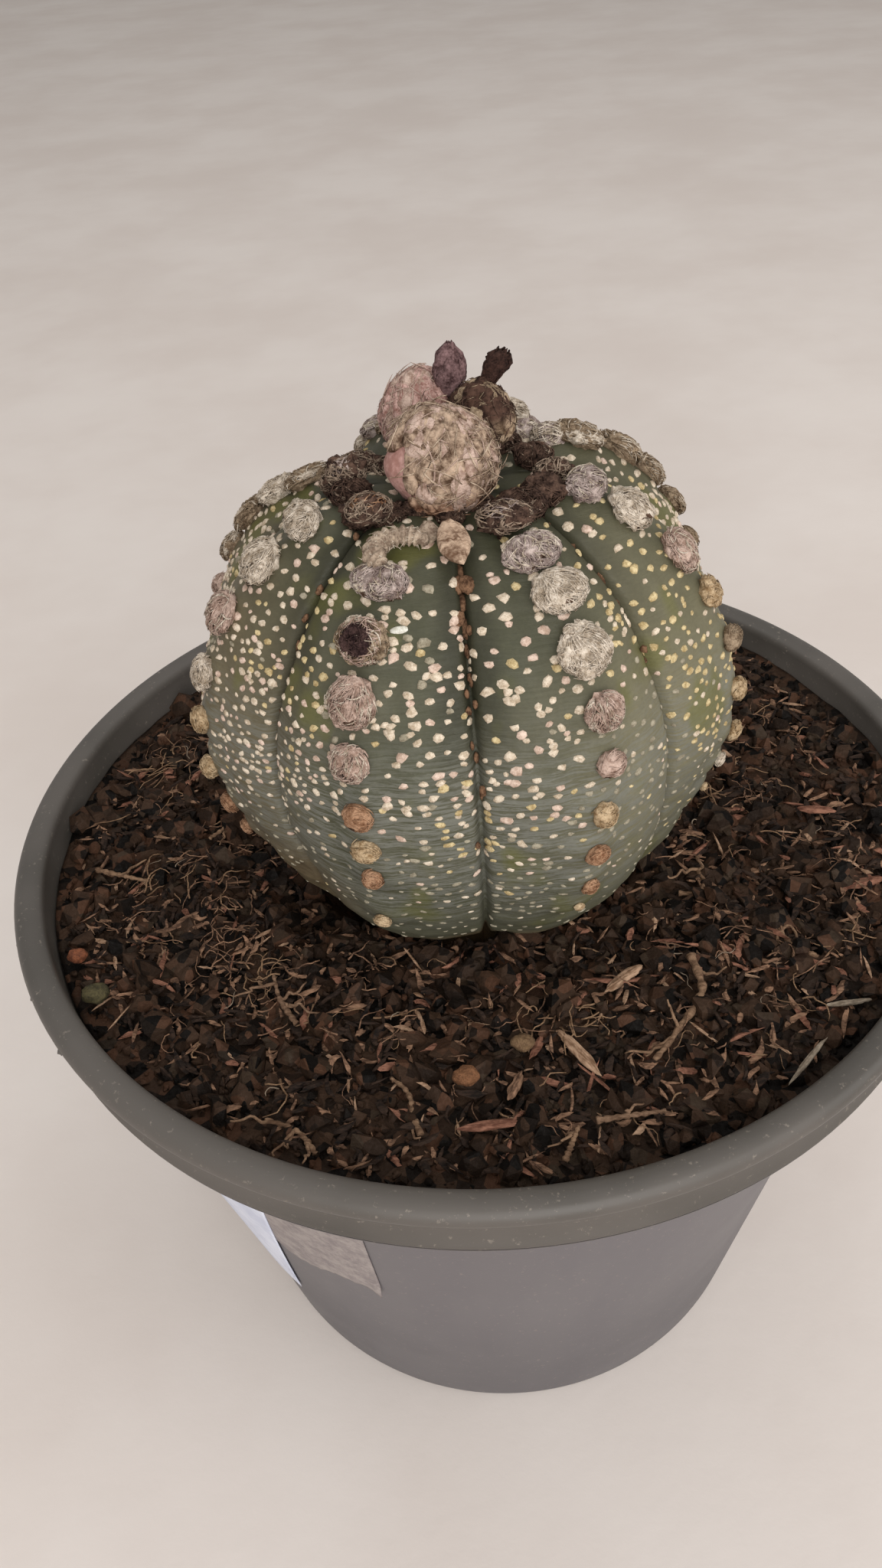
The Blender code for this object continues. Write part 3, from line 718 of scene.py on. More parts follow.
def build_flecks(mats):
    azimuth, elevation, size = fleck_places()
    count = len(size)
    sides = 7
    levels = ((1.0, -0.12), (0.90, 0.16), (0.52, 0.34))
    template = np.zeros((count, sides * len(levels) + 1, 3))
    wobble = rng.uniform(0.72, 1.22, (count, sides))
    for level, (reach, height) in enumerate(levels):
        for side in range(sides):
            turn = math.tau * side / sides
            index = level * sides + side
            template[:, index, 0] = math.cos(turn) * reach * wobble[:, side]
            template[:, index, 1] = math.sin(turn) * reach * wobble[:, side]
            template[:, index, 2] = height * rng.uniform(0.75, 1.25, count)
    template[:, -1, 2] = rng.uniform(0.32, 0.5, count)
    # Low on the plant they are pressed into flat dashes.
    template[:, :, 0] *= np.interp(elevation, [-30, -8, 20], [1.5, 1.3, 1.12])[:, None]
    template[:, :, 1] *= np.interp(elevation, [-30, -8, 20], [0.55, 0.68, 0.86])[:, None]
    template *= size[:, None, None]
    tilt = rng.normal(scale=0.25, size=count)
    turned = template.copy()
    turned[:, :, 0] = template[:, :, 0] * np.cos(tilt)[:, None] - template[:, :, 1] * np.sin(tilt)[:, None]
    turned[:, :, 1] = template[:, :, 0] * np.sin(tilt)[:, None] + template[:, :, 1] * np.cos(tilt)[:, None]
    faces = grid_faces(len(levels), sides)
    top = sides * (len(levels) - 1)
    faces += [(top + i, top + (i + 1) % sides, len(template[0]) - 1) for i in range(sides)]
    places = skin_point(azimuth, elevation)
    frames = frames_along(skin_normal(azimuth, elevation))
    verts, all_faces = copies(turned, faces, frames, places)
    pick = rng.choice(4, count, p=[0.66, 0.22, 0.06, 0.06])
    yellow = near(azimuth, 58.0, 22.0) + 0.6 * near(azimuth, 1.0, 9.0) * bump_at(elevation, 2.0, 12.0)
    yellow += near(azimuth, -38.0, 8.0) * bump_at(elevation, 34.0, 14.0)
    pick[rng.uniform(size=count) < 0.75 * np.minimum(yellow, 1.0)] = 2
    dull = np.clip((6.0 - elevation) / 16.0, 0.0, 1.0) + near(azimuth, 36.0, 14.0) * (elevation < 25.0)
    pick[rng.uniform(size=count) < 0.9 * np.minimum(dull, 1.0)] = 3
    new_piece("stem_flecks", verts, all_faces, mats, "cactus_skin", face_mats=np.repeat(pick, len(faces)))
    # One stray white husk that lies on the front left rib.
    husk, turn = skin_frame(-14.5, 44.5)
    base, husk_faces = ball(14, 10)
    verts = lumpy(base, 0.8, 0.12, 5) * [1.25 * MM, 0.5 * MM, 0.4 * MM] @ turn.T + husk
    new_piece("husk_white", verts, husk_faces, mats[4], "sliver")


STRAND_TAPER = (0.7, 1.0, 0.95, 0.75, 0.3)


def combed(place, turn, half, count, length, radius, flow, spread, low=0.0):
    """Strands laid over a dome. flow is the way they are combed, in the dome's own x and y."""
    knots = len(STRAND_TAPER)
    spot = unit(rng.normal(size=(count * 3, 3)) * [1.0, 1.0, 0.8])
    spot = spot[spot[:, 2] > low][:count]
    count = len(spot)
    heading = np.column_stack([np.full(count, flow[0]), np.full(count, flow[1]), np.zeros(count)])
    heading[:, 0] += spot[:, 0] * flow[2]
    heading += rng.normal(scale=spread, size=(count, 3))
    step = length * rng.uniform(0.5, 1.2, count) / (knots - 1) / np.mean(half)
    lift = rng.uniform(0.97, 1.10, count)
    curl = rng.normal(scale=0.5, size=(count, 3))
    points = []
    for knot in range(knots):
        share = knot / (knots - 1)
        points.append(spot * half * (lift + 0.10 * share * share)[:, None])
        tangent = heading + curl * share
        tangent -= spot * np.einsum("ij,ij->i", spot, tangent)[:, None]
        spot = unit(spot + unit(tangent) * step[:, None])
    points = np.stack(points, 1) @ turn.T + place
    return tubes(points, np.outer(radius * rng.uniform(0.7, 1.3, count), STRAND_TAPER))


class Pile:
    """Parts that share one object, each with its own material."""

    def __init__(self):
        self.groups = []
        self.picks = []

    def add(self, group, pick=0):
        self.groups.append(group)
        self.picks.append(np.broadcast_to(np.asarray(pick, np.int32), len(group[1])))

    def piece(self, name, mats, slot, replaced=()):
        verts, faces = merged(self.groups)
        return new_piece(name, verts, faces, mats, slot, replaced, face_mats=np.concatenate(self.picks))


# Kind of each areole, crown to base: m mauve wool, c cream wool, p pink wool, b brown wool,
# t tan button, o orange button, s the one under the dried stub.
AREOLE_KINDS = ("mccpptoot", "mcptbttct", "bbbbbttto", "ccmpbttot", "bmcpbttot", "bcbbpttot", "ccpcttoo",
                "msppotot")
AREOLE_HALVES = ((3.4, 2.5, 1.7), (3.3, 2.8, 1.8), (3.0, 2.9, 1.7), (2.35, 2.3, 1.45), (2.1, 1.8, 1.35),
                 (1.85, 1.7, 1.25), (1.6, 1.5, 1.05), (1.25, 1.2, 0.75), (0.8, 0.75, 0.5))
KIND_ORDER = "mcpbtos"


def build_areoles(mats):
    """The woolly pads on the crests: grey and matted high up, tan buttons low down."""
    base, faces = ball(20, 14)
    middles = np.array([base[list(face)].mean(0) for face in faces])
    pads = Pile()
    strands = Pile()
    for number, (rib, index, azimuth, elevation) in enumerate(AREOLES):
        kind = AREOLE_KINDS[rib][index]
        woolly = index <= 3 and kind in "mcpbs"
        place, turn = skin_frame(azimuth, elevation)
        place = place + turn[:, 2] * 0.35 * MM
        half = np.array(AREOLE_HALVES[index]) * MM * rng.uniform(0.90, 1.10, 3)
        shape = lumpy(base, 0.42, 0.34 if woolly else 0.16, number)
        shape *= 1.0 + 0.05 * np.sin(shape[:, 1:2] * 15.0 + number)
        # Painted shade: the faces on the underside of the woolly pads take the dark wool, where shade falls.
        dark = (middles[:, 1] < -0.70 + 0.15 * np.sin(middles[:, 0] * 4 + number)) & (woolly or index == 4)
        pick = KIND_ORDER.index(kind)
        pads.add(((shape * half) @ turn.T + place, faces), np.where(dark, 7, pick))
        if index > 7:
            continue
        if woolly:
            side = 1.0 if rib < 4 else -1.0
            for i in range(6):
                away = math.tau * (i + rng.uniform(-0.35, 0.35)) / 6
                shift = np.array([math.cos(away), math.sin(away), rng.uniform(0.0, 0.5)]) * half * 0.72
                size = half * rng.uniform(0.30, 0.52, 3)
                tone = pick if rng.uniform() < 0.7 else 1
                shape = lumpy(base, 0.5, 0.4, number * 9 + i) * size + shift
                pads.add((shape @ turn.T + place, faces), tone)
                strands.add(combed(place + turn @ shift, turn, size, 26, 1.9 * MM, 0.11 * MM,
                                   (0.0, -0.4, 1.0), 0.7, -0.2), tone)
            strands.add(combed(place, turn, half, 210, 3.2 * MM, 0.12 * MM,
                               (0.5 * side, -0.75, 1.1), 0.28), pick)
            strands.add(combed(place, turn, half * 1.03, 60, 2.2 * MM, 0.10 * MM,
                               (0.2 * side, -0.6, 0.9), 0.45, 0.2), 1)
        else:
            strands.add(combed(place, turn, half, 46, half[0] * 1.1, 0.09 * MM,
                               (0.9, -0.15, 0.6), 0.3, 0.15), pick)
    # The last kind, the dark wool, is the painted shade under the pads.
    kinds = [mats["wool_" + name] for name in "mauve cream pink brown tan orange brown dark".split()]
    new = pads.piece("areole_pads", kinds, "cactus_skin")
    new.data.set_sharp_from_angle(angle=math.radians(80.0))
    strands.piece("areole_strands", kinds, "cactus_skin")
    build_stub(mats)


def build_stub(mats):
    """The dried flower stub left on one areole, over its brown wool."""
    place, turn = next(skin_frame(*spot) for rib, index, *spot in AREOLES if (rib, index) == STUB_AREOLE)
    base, faces = ball(14, 10)
    pile = Pile()
    for i in range(11):
        spread = rng.uniform(-1.35, 1.35, 2)
        shift = np.array([spread[0], spread[1] - 0.2, 2.2 - 0.25 * (spread @ spread)]) * MM
        half = rng.uniform(0.7, 1.25, 3) * MM
        pile.add(((lumpy(base, 0.45, 0.4, 90 + i) * half + shift) @ turn.T + place, faces), 0)
    dome = place + turn[:, 2] * 0.8 * MM
    half = np.array([2.2, 2.2, 2.1]) * MM
    pile.add(combed(dome, turn, half, 150, 2.4 * MM, 0.12 * MM, (0.0, -0.3, 0.6), 0.9, 0.1))
    half = half * [1.25, 1.3, 0.8]
    pile.add(combed(dome, turn, half, 90, 2.2 * MM, 0.11 * MM, (0.0, -0.5, 0.8), 0.9), 1)
    pile.piece("areole_stub", [mats["stub"], mats["wool_pink"]], "remnant_dark")


def build_groove_cork(mats):
    """Small brown corky lumps along the upper part of the grooves."""
    base, faces = ball(8, 6)
    groups = []
    for rib in range(RIBS):
        for elevation in np.arange(-4.0, 64.0, 1.9):
            crown_end = rib == 0 and elevation > 42.0
            gaps = (0.45 if elevation > 14 else 0.75) + 0.25 * (rib > 0) - 0.4 * crown_end
            if rng.uniform() < gaps:
                continue
            spot = rng.normal(scale=0.8, size=2) + [GROOVE_AZIMUTH + rib * SECTOR, elevation]
            place = skin_point(spot[:1], spot[1:])[0]
            normal = unit(place - STEM_CENTRE)
            turn = frames_along(normal[None])[0]
            half = np.array([0.36 + 0.4 * crown_end, 0.62 + 0.5 * crown_end, 0.45 - 0.1 * crown_end])
            half *= rng.uniform(0.7, 1.3, 3) * MM
            shape = lumpy(base, 0.6, 0.4, rib * 40 + int(elevation))
            rise = (0.55 - 0.2 * crown_end) * MM
            groups.append(((shape * half) @ turn.T + place + normal * rise, faces))
    new_piece("groove_cork", *merged(groups), mats["cork"], "cactus_skin")


# ---- crown

def node_frame(name):
    """Centre and half lengths of a CAD node's box."""
    low, high = box(name)
    return (low + high) / 2, (high - low) / 2


def narrow_top(obj, centre, half):
    """Draws in the top of a berry, so that it's widest low down."""
    mesh = obj.data
    verts = np.zeros(len(mesh.vertices) * 3)
    mesh.vertices.foreach_get("co", verts)
    verts = verts.reshape(-1, 3) - centre
    verts[:, :2] *= 1.0 - 0.17 * np.clip(verts[:, 2:] / half[2], 0.0, 1.2)
    mesh.vertices.foreach_set("co", (verts + centre).ravel())
    mesh.update()


GOLDEN_TURN = 2.39996               # radians from one lobe to the next


def build_fruit(name, slot, mats, seed, lobes, strands, bare, reach, thick):
    """A woolly berry: a lumpy ovoid under overlapping woolly lobes and combed strands."""
    centre, half = node_frame(name)
    body, faces = ball(56, 40)
    pile = Pile()
    pile.add((lumpy(body, 0.55, 0.05, seed) * half * 0.97 + centre, faces))
    side, side_faces = ball(10, 7)
    local = np.random.default_rng(seed)
    for i in range(lobes):
        # A spiral over the whole berry, so that the lobes lie close like shingles.
        z = 1.0 - 2.0 * (i + 0.5) / lobes
        turned = i * GOLDEN_TURN + local.normal(scale=0.25)
        out = np.array([math.sqrt(1 - z * z) * math.cos(turned), math.sqrt(1 - z * z) * math.sin(turned), z])
        if out @ bare > 0.56 + local.normal(scale=0.13):
            continue
        turn = frames_along((out / half)[None])[0]
        size = local.uniform(0.65, 1.5, 3) * [0.90, 1.30, 0.55] * MM * reach
        shape = lumpy(side, 0.6, 0.35, seed * 100 + i) * size
        tilt = np.array(Matrix.Rotation(local.uniform(-0.5, 0.5), 3, "Z"))
        pick = 1 if local.uniform() < 0.72 else 3
        pile.add((shape @ tilt.T @ turn.T + centre + out * half, side_faces), pick)
    narrow_top(pile.piece(name + "_body", mats, slot, [name]), centre, half)

    wool = Pile()
    for tone in (2, 2, 2, 3):
        verts, faces = combed(centre, np.eye(3), half * local.uniform(1.02, 1.10), strands // 4,
                              3.4 * MM * reach, thick * MM, (0.0, 0.0, 0.5), 1.0, -1.0)
        verts = verts.reshape(-1, 3 * len(STRAND_TAPER), 3)
        facing = unit((verts.mean(1) - centre) / half)
        keep = facing @ bare < 0.46 + local.normal(scale=0.12, size=len(facing))
        wool.add((verts[keep].reshape(-1, 3), faces[:len(faces) // len(verts) * int(keep.sum())]), tone)
    narrow_top(wool.piece(name + "_wool", mats, slot), centre, half)


def petal_bundle(name, node, base, tip, widths, petals, mat, slot, ragged, seed):
    """A dried flower: thin crumpled petals round an axis. widths are radii from foot to tip."""
    local = np.random.default_rng(seed)
    base, tip = np.asarray(base), np.asarray(tip)
    axis = unit(tip - base)
    length = np.linalg.norm(tip - base)
    side = unit(np.cross(axis, [0.0, 1.0, 0.0]))
    front = np.cross(side, axis)
    groups = []
    rows, columns = 16, 9
    for petal in range(petals):
        turn = math.tau * petal / petals + local.uniform(-0.3, 0.3)
        reach = local.uniform(0.74, 1.0)
        phase = local.uniform(0, 6.3)
        verts = []
        for row in range(rows):
            along = row / (rows - 1)
            radius = np.interp(along, np.linspace(0, 1, len(widths)), widths) * MM
            for column in range(columns):
                across = column / (columns - 1) - 0.5
                edge = 1.0 - ragged * (abs(math.sin(column * 2.3 + phase)) + 2.0 * abs(across)) * along ** 2
                crumple = 1.0 + 0.20 * math.sin(along * 9 + phase + across * 7)
                angle = turn + across * 1.8
                outward = side * math.cos(angle) + front * math.sin(angle) * 0.75
                verts.append(base + axis * along * length * reach * edge + outward * radius * crumple)
        groups.append((verts, grid_faces(rows, columns, False)))
    thicken(new_piece(name, *merged(groups), mat, slot, [node]), 0.16 * MM)


def tuft(pile, place, half, seed, core, hair, count, lumps):
    """A clump of dried wool: dark lumps under combed strands."""
    local = np.random.default_rng(seed)
    turn = frames_along(np.array([[0.0, 0.0, 1.0]]), (0.0, 1.0, 0.001))[0]
    base, faces = ball(12, 9)
    for i in range(lumps):
        shift = local.uniform(-0.5, 0.5, 3) * half * (i > 0)
        size = half * local.uniform(0.45, 0.7, 3) * (1.3 if i == 0 else 1.0)
        pile.add(((lumpy(base, 0.4, 0.75, seed * 30 + i) * size + shift) @ turn.T + place, faces), core)
    length = float(half.mean()) * 1.5
    pile.add(combed(place, turn, half, count, length, 0.12 * MM, (0.0, 0.0, 1.0), 0.9, -0.3), hair)


def build_bud(name, mats, seed, hair):
    centre, half = node_frame(name)
    pile = Pile()
    tuft(pile, centre, half * 1.05, seed, 0, 1, 120, 9)
    tuft(pile, centre + [0.0, 0.0, half[2] * 0.25], half * [0.8, 0.8, 0.9], seed + 1, 0, 2, 50, 2)
    pile.piece(name + "_wool", [mats["bud"], mats["bud_hair"], mats[hair]], "dried_bud", [name])


def build_bract(mats):
    """The pointed tan scale with ridges along it, and the small blunt one beside it."""
    centre, _ = node_frame("dried_bud_front")
    base, faces = ball(56, 30)
    verts = []
    for x, y, z in base:
        taper = 1.0 - 0.75 * max(0.0, -y) ** 1.6
        ridge = 1.0 + 0.20 * math.sin(x * 13.0 + y * 6.0)
        lift = (z * 0.8 + 0.25 * y * y - 0.1) * ridge * (0.4 + 0.6 * taper)
        verts.append((x * taper * (1.0 + 0.03 * ridge), y, lift))
    turn = np.array(Matrix.Rotation(math.radians(16.0), 3, "Z"))
    verts = np.array(verts) * [2.0 * MM, 3.3 * MM, 1.4 * MM] @ turn.T
    verts[:, 2] += 0.40 * verts[:, 1]
    verts += centre + [0.0, -0.5 * MM, 0.5 * MM]
    new_piece("bract_striped", verts, faces, mats["bract"], "dried_bud", ["dried_bud_front"])
    stump, stump_faces = ball(16, 12)
    verts = lumpy(stump, 0.6, 0.2, 77) * [1.35 * MM, 1.2 * MM, 1.5 * MM] + centre
    verts += [-3.2 * MM, 3.2 * MM, 0.2 * MM]
    new_piece("bract_stump", verts, stump_faces, mats["curl"], "dried_bud")


def build_curl(mats):
    """The curled, ridged strip on the left of the bract."""
    low, high = box("dried_bud_curl")
    knots, hair_count = 60, 130
    shares = ((0.14, 0.02, 0.25), (0.02, 0.35, 0.55), (0.22, 0.80, 0.72), (0.60, 0.92, 0.70),
              (0.95, 0.75, 0.5))
    points = smooth_path([low + (high - low) * share for share in shares], knots)
    ridges = 1.0 + 0.22 * np.sin(np.linspace(0, 74, knots))
    radii = 1.35 * MM * ridges * np.interp(np.linspace(0, 1, knots), [0, 0.15, 0.8, 1], [0.6, 1.0, 0.85, 0.5])
    pile = Pile()
    pile.add(tubes(points[None], radii[None], 14))
    spots = rng.integers(3, knots - 3, hair_count)
    away = unit(rng.normal(size=(hair_count, 3)) + [0.0, -0.2, 0.5])
    along = unit(np.gradient(points, axis=0)[spots])
    lean = away * 0.35 + along * rng.choice([-1.0, 1.0], hair_count)[:, None]
    across = away - along * np.einsum("ij,ij->i", away, along)[:, None]
    roots = points[spots] + across * radii[spots][:, None]
    pile.add(hairs(roots, lean, 1.0 * MM, 0.08 * MM, 0.35), 1)
    pile.piece("curl_strip", [mats["curl"], mats["wool_cream"]], "dried_bud", ["dried_bud_curl"])


# Clumps of wool round the fruits: x and y from the plant's middle, half width (mm) and kind.
CROWN_TUFTS = (
    (-11.5, -10.5, 2.9, "d"), (-13.8, -5.0, 2.6, "d"), (-15.4, 0.8, 2.7, "m"), (-8.0, -12.5, 2.0, "d"),
    (9.0, -12.0, 3.0, "d"), (12.0, -8.5, 2.8, "d"), (13.4, -3.0, 2.4, "m"), (6.0, -14.5, 2.3, "d"),
    (11.2, 2.0, 2.5, "d"), (-12.8, 7.0, 2.8, "m"), (-13.5, 13.0, 3.0, "m"), (-5.0, 13.5, 2.6, "d"),
    (3.0, 14.5, 2.6, "m"), (10.0, 11.0, 2.8, "c"), (14.0, 8.0, 2.6, "c"), (-0.5, -13.5, 1.7, "d"),
    (-4.5, -11.5, 1.8, "d"), (3.4, -11.0, 1.7, "d"), (-8.5, 4.5, 2.4, "m"), (7.5, 7.0, 2.4, "d"),
)


def build_crown_wool(mats):
    """Dried wool between the fruits and the first areoles."""
    pile = Pile()
    for number, (x, y, width, kind) in enumerate(CROWN_TUFTS):
        reach = math.hypot(x, y)
        line = body_point(math.degrees(math.atan2(x, -y)), np.linspace(40.0, 88.0, 97))
        nearest = np.abs(np.hypot(*(line - STEM_CENTRE)[:, :2].T) - reach * MM).argmin()
        place = line[nearest] + [0.0, 0.0, 0.5 * MM]
        half = np.array([width, width * 0.85, width * 0.7]) * MM
        core, hair = {"d": (0, 0), "m": (0, 1), "c": (2, 3)}[kind]
        tuft(pile, place, half, 300 + number * 3, core, hair, 100, 8)
        tuft(pile, place, half * 0.9, 301 + number * 3, core, 1, 22, 1)
    kinds = [mats["bud"], mats["bud_hair"], mats["wool_mauve"], mats["wool_cream"]]
    pile.piece("crown_wool", kinds, "dried_bud")


# ---- pot

def wall_radius(z):
    return BASE_RADIUS + WALL_TAPER * z


def pot_profile():
    """The pot's section from the floor's middle, up the inside, over the lip, and down to the floor again."""
    # Points in mm from an anchor's radius and height.
    inside = (
        (0.0, FLOOR_Z, ((0.0, 2.4), (24.5, 2.4), (28.5, 0.0))),
        (wall_radius(FLOOR_Z) - WALL, FLOOR_Z, ((-1.5, 0.0), (0.0, 1.2))),
        (wall_radius(LEDGE_Z) - WALL, LEDGE_Z, ((0.0, -0.6), (0.6, 0.0))),
        (RIM_INNER, LEDGE_Z, ((-1.2, 0.0), (-0.5, 0.7))),
        (RIM_INNER, POT_HEIGHT, ((0.0, -1.6), (0.10, -1.05), (0.32, -0.62), (0.7, -0.32), (1.3, -0.14),
                                 (2.1, -0.02), (2.8, 0.0))),
        (RIM_RADIUS, POT_HEIGHT, ((-1.2, -0.12), (-0.75, -0.36), (-0.35, -0.75), (-0.1, -1.2), (0.0, -1.75),
                                  (-0.1, -2.3), (-0.45, -2.85), (-1.0, -3.3))),
        (COLLAR_RADIUS, POT_HEIGHT, ((0.8, -3.8), (0.35, -4.5), (0.2, -5.6), (0.3, -7.2))),
        (COLLAR_RADIUS, COLLAR_Z, ((0.65, 1.5), (0.9, 1.0), (0.85, 0.78), (0.2, 0.68), (0.2, 0.38),
                                   (0.7, 0.30), (0.65, 0.06), (0.4, 0.0))),
        (wall_radius(COLLAR_Z), COLLAR_Z, ((0.5, 0.0), (0.0, -0.5))),
    )
    foot = (
        (wall_radius(1.1 * MM), 0.0, ((-0.05, 1.1),)),
        (BASE_RADIUS, 0.0, ((-0.1, 0.4), (-0.6, 0.0), (-4.2, 0.0))),
        (BASE_RADIUS, FLOOR_Z, ((-4.8, -1.6),)),
        (0.0, FLOOR_Z, ((29.3, -1.6), (25.3, 0.8), (0.0, 0.8))),
    )
    wall = [(wall_radius(z), z) for z in np.linspace(COLLAR_Z - 6.0 * MM, 2.0 * MM, 12)]
    upper, lower = ([(radius + x * MM, z + y * MM) for radius, z, points in part for x, y in points]
                    for part in (inside, foot))
    return upper + wall + lower


def cut_holes(obj):
    """Cuts the drain holes."""
    holes = bmesh.new()
    for i in range(DRAIN_HOLES):
        turn = math.tau * (i + 0.5) / DRAIN_HOLES
        place = Matrix.Translation((DRAIN_CIRCLE * math.cos(turn), DRAIN_CIRCLE * math.sin(turn), FLOOR_Z))
        bmesh.ops.create_cone(holes, cap_ends=True, segments=40, radius1=DRAIN_RADIUS, radius2=DRAIN_RADIUS,
                              depth=10.0 * MM, matrix=place)
    mesh = bpy.data.meshes.new("drain_holes")
    holes.to_mesh(mesh)
    holes.free()
    cutter = linked("drain_holes", mesh)
    cut = obj.modifiers.new("holes", "BOOLEAN")
    cut.operation = "DIFFERENCE"
    cut.solver = "EXACT"
    cut.object = cutter
    bpy.context.view_layer.update()
    made = bpy.data.meshes.new_from_object(obj.evaluated_get(bpy.context.evaluated_depsgraph_get()))
    obj.modifiers.clear()
    obj.data = made
    bpy.data.objects.remove(cutter, do_unlink=True)
    made.polygons.foreach_set("use_smooth", [True] * len(made.polygons))
    made.set_sharp_from_angle(angle=math.radians(50.0))


def build_pot(mat):
    """The moulded pot, with drain holes, a little unevenness and flash nicks on its lip."""
    steps = 168
    profile = pot_profile()
    verts = []
    for radius, z in profile:
        for i in range(steps):
            turn = math.tau * i / steps
            wobble = 1.0 + 0.0009 * math.sin(2 * turn + 0.6) + 0.0005 * math.sin(5 * turn)
            reach = radius * wobble if radius < RIM_RADIUS - 1.0 * MM else radius
            verts.append((reach * math.sin(turn), -reach * math.cos(turn), z))
    obj = new_piece("pot_body", verts, grid_faces(len(profile), steps), mat, "pot_plastic", ["pot"])
    face_out(obj, 1e-6)
    cut_holes(obj)
    nicks = []
    base, nick_faces = ball(8, 6)
    for azimuth, width in ((-76.0, 0.7), (-71.0, 1.1), (-68.5, 0.8), (-62.0, 1.0), (-60.5, 0.7),
                           (-53.0, 1.1)):
        place = outward(math.radians(azimuth), RIM_RADIUS - 0.35 * MM, POT_HEIGHT - 2.5 * MM)
        shape = lumpy(base, 0.5, 0.4, int(-azimuth)) * [0.5 * MM, 0.5 * MM, 0.5 * MM * width]
        nicks.append((shape * width + place, nick_faces))
    new_piece("pot_flash", *merged(nicks), mat, "pot_plastic")


# ---- soil

def stem_reach(z):
    """Radius of the stem's lower half at a height."""
    level = float(np.clip((z - STEM_CENTRE[2]) / HALF_HEIGHT, -0.98, 0.0))
    return CREST_RADIUS * math.sqrt(1.0 - level * level)


def soil_height(x, y):
    """The uneven top of the soil, with a hollow at the left front of the stem."""
    x, y = np.asarray(x, float), np.asarray(y, float)
    point = np.stack([x, y, np.zeros_like(x)], -1)
    height = SOIL_TOP + 0.008 * x + 0.8 * MM * waves(point, 22.0 * MM, 31)
    height = height + 0.35 * MM * waves(point, 7.0 * MM, 32)
    hollow = np.exp(-(((x + 25.0 * MM) / (8.0 * MM)) ** 2 + ((y + 13.0 * MM) / (10.0 * MM)) ** 2))
    return height - 3.5 * MM * hollow


def build_soil_bed(mat):
    azimuth = np.linspace(0.0, 360.0, 200, endpoint=False)
    turn = np.radians(azimuth)
    floor = FLOOR_Z + FLOOR_RISE + SHEET_GAP
    neck = LEDGE_Z - 0.6 * MM
    rings = [outward(turn, 0.2 * MM, floor)]
    rings += [outward(turn, wall_radius(z) - WALL - SHEET_GAP, z) for z in np.linspace(floor, neck, 9)]
    rings.append(outward(turn, wall_radius(neck) - WALL - SHEET_GAP, LEDGE_Z + SHEET_GAP))
    rings.append(outward(turn, SOIL_EDGE - 1.2 * MM, LEDGE_Z + SHEET_GAP))
    inner = stem_point(turn, stem_reach(SOIL_TOP) + 0.5 * MM, 0.0)
    for share in np.linspace(0.0, 1.0, 56):
        flat = outward(turn) * SOIL_EDGE * (1 - share) + inner * [1.0, 1.0, 0.0] * share
        flat[:, 2] = soil_height(flat[:, 0], flat[:, 1])
        rings.append(flat)
    rings += [buried_ring(azimuth, row, grow=SHEET_GAP) for row in reversed(BURIED)]
    tip = stem_point(turn, 0.2 * MM, 0.0)
    tip[:, 2] = 45.0 * MM
    rings.append(tip)
    faces = grid_faces(len(rings), len(turn))
    face_out(new_piece("soil_bed", np.concatenate(rings), faces, mat, "soil", ["soil"]))


def soil_places(count, margin, inner_gap=0.0):
    """Random places on the soil between the stem and the rim."""
    kept = []
    while sum(len(k) for k in kept) < count:
        spot = rng.uniform(-SOIL_EDGE, SOIL_EDGE, (count, 2))
        away = np.hypot(*(spot - STEM_CENTRE[:2]).T)
        inside = np.hypot(*spot.T) < SOIL_EDGE - margin
        kept.append(spot[inside & (away > stem_reach(SOIL_TOP) + inner_gap)])
    return np.concatenate(kept)[:count]


def on_soil(spot, lift):
    """Points a little above the soil at some places."""
    return np.column_stack([spot, soil_height(*spot.T) + lift])


def build_crumbs(mat):
    """Broken lumps of peat and bark: angular, of many sizes."""
    bm = bmesh.new()
    bmesh.ops.create_icosphere(bm, subdivisions=1, radius=1.0)
    base = np.array([v.co[:] for v in bm.verts])
    faces = [tuple(v.index for v in face.verts) for face in bm.faces]
    bm.free()
    for name, count, low, high in (("soil_crumbs_large", 1100, 1.1, 2.3), ("soil_crumbs", 6000, 0.45, 1.0)):
        count = thinned(count)
        spot = soil_places(count, high * MM)
        size = rng.uniform(low, high, count) ** 1.2 * MM
        template = base[None] * rng.uniform(0.55, 1.3, (count, len(base), 1))
        stretch = rng.uniform(0.5, 1.3, (count, 1, 3))
        turns = random_turns(count) * size[:, None, None]
        places = on_soil(spot, size * rng.uniform(-0.3, 0.5, count))
        verts, all_faces = copies(template * stretch, faces, turns, places)
        new_piece(name, verts, all_faces, mat, "soil", smooth=False)


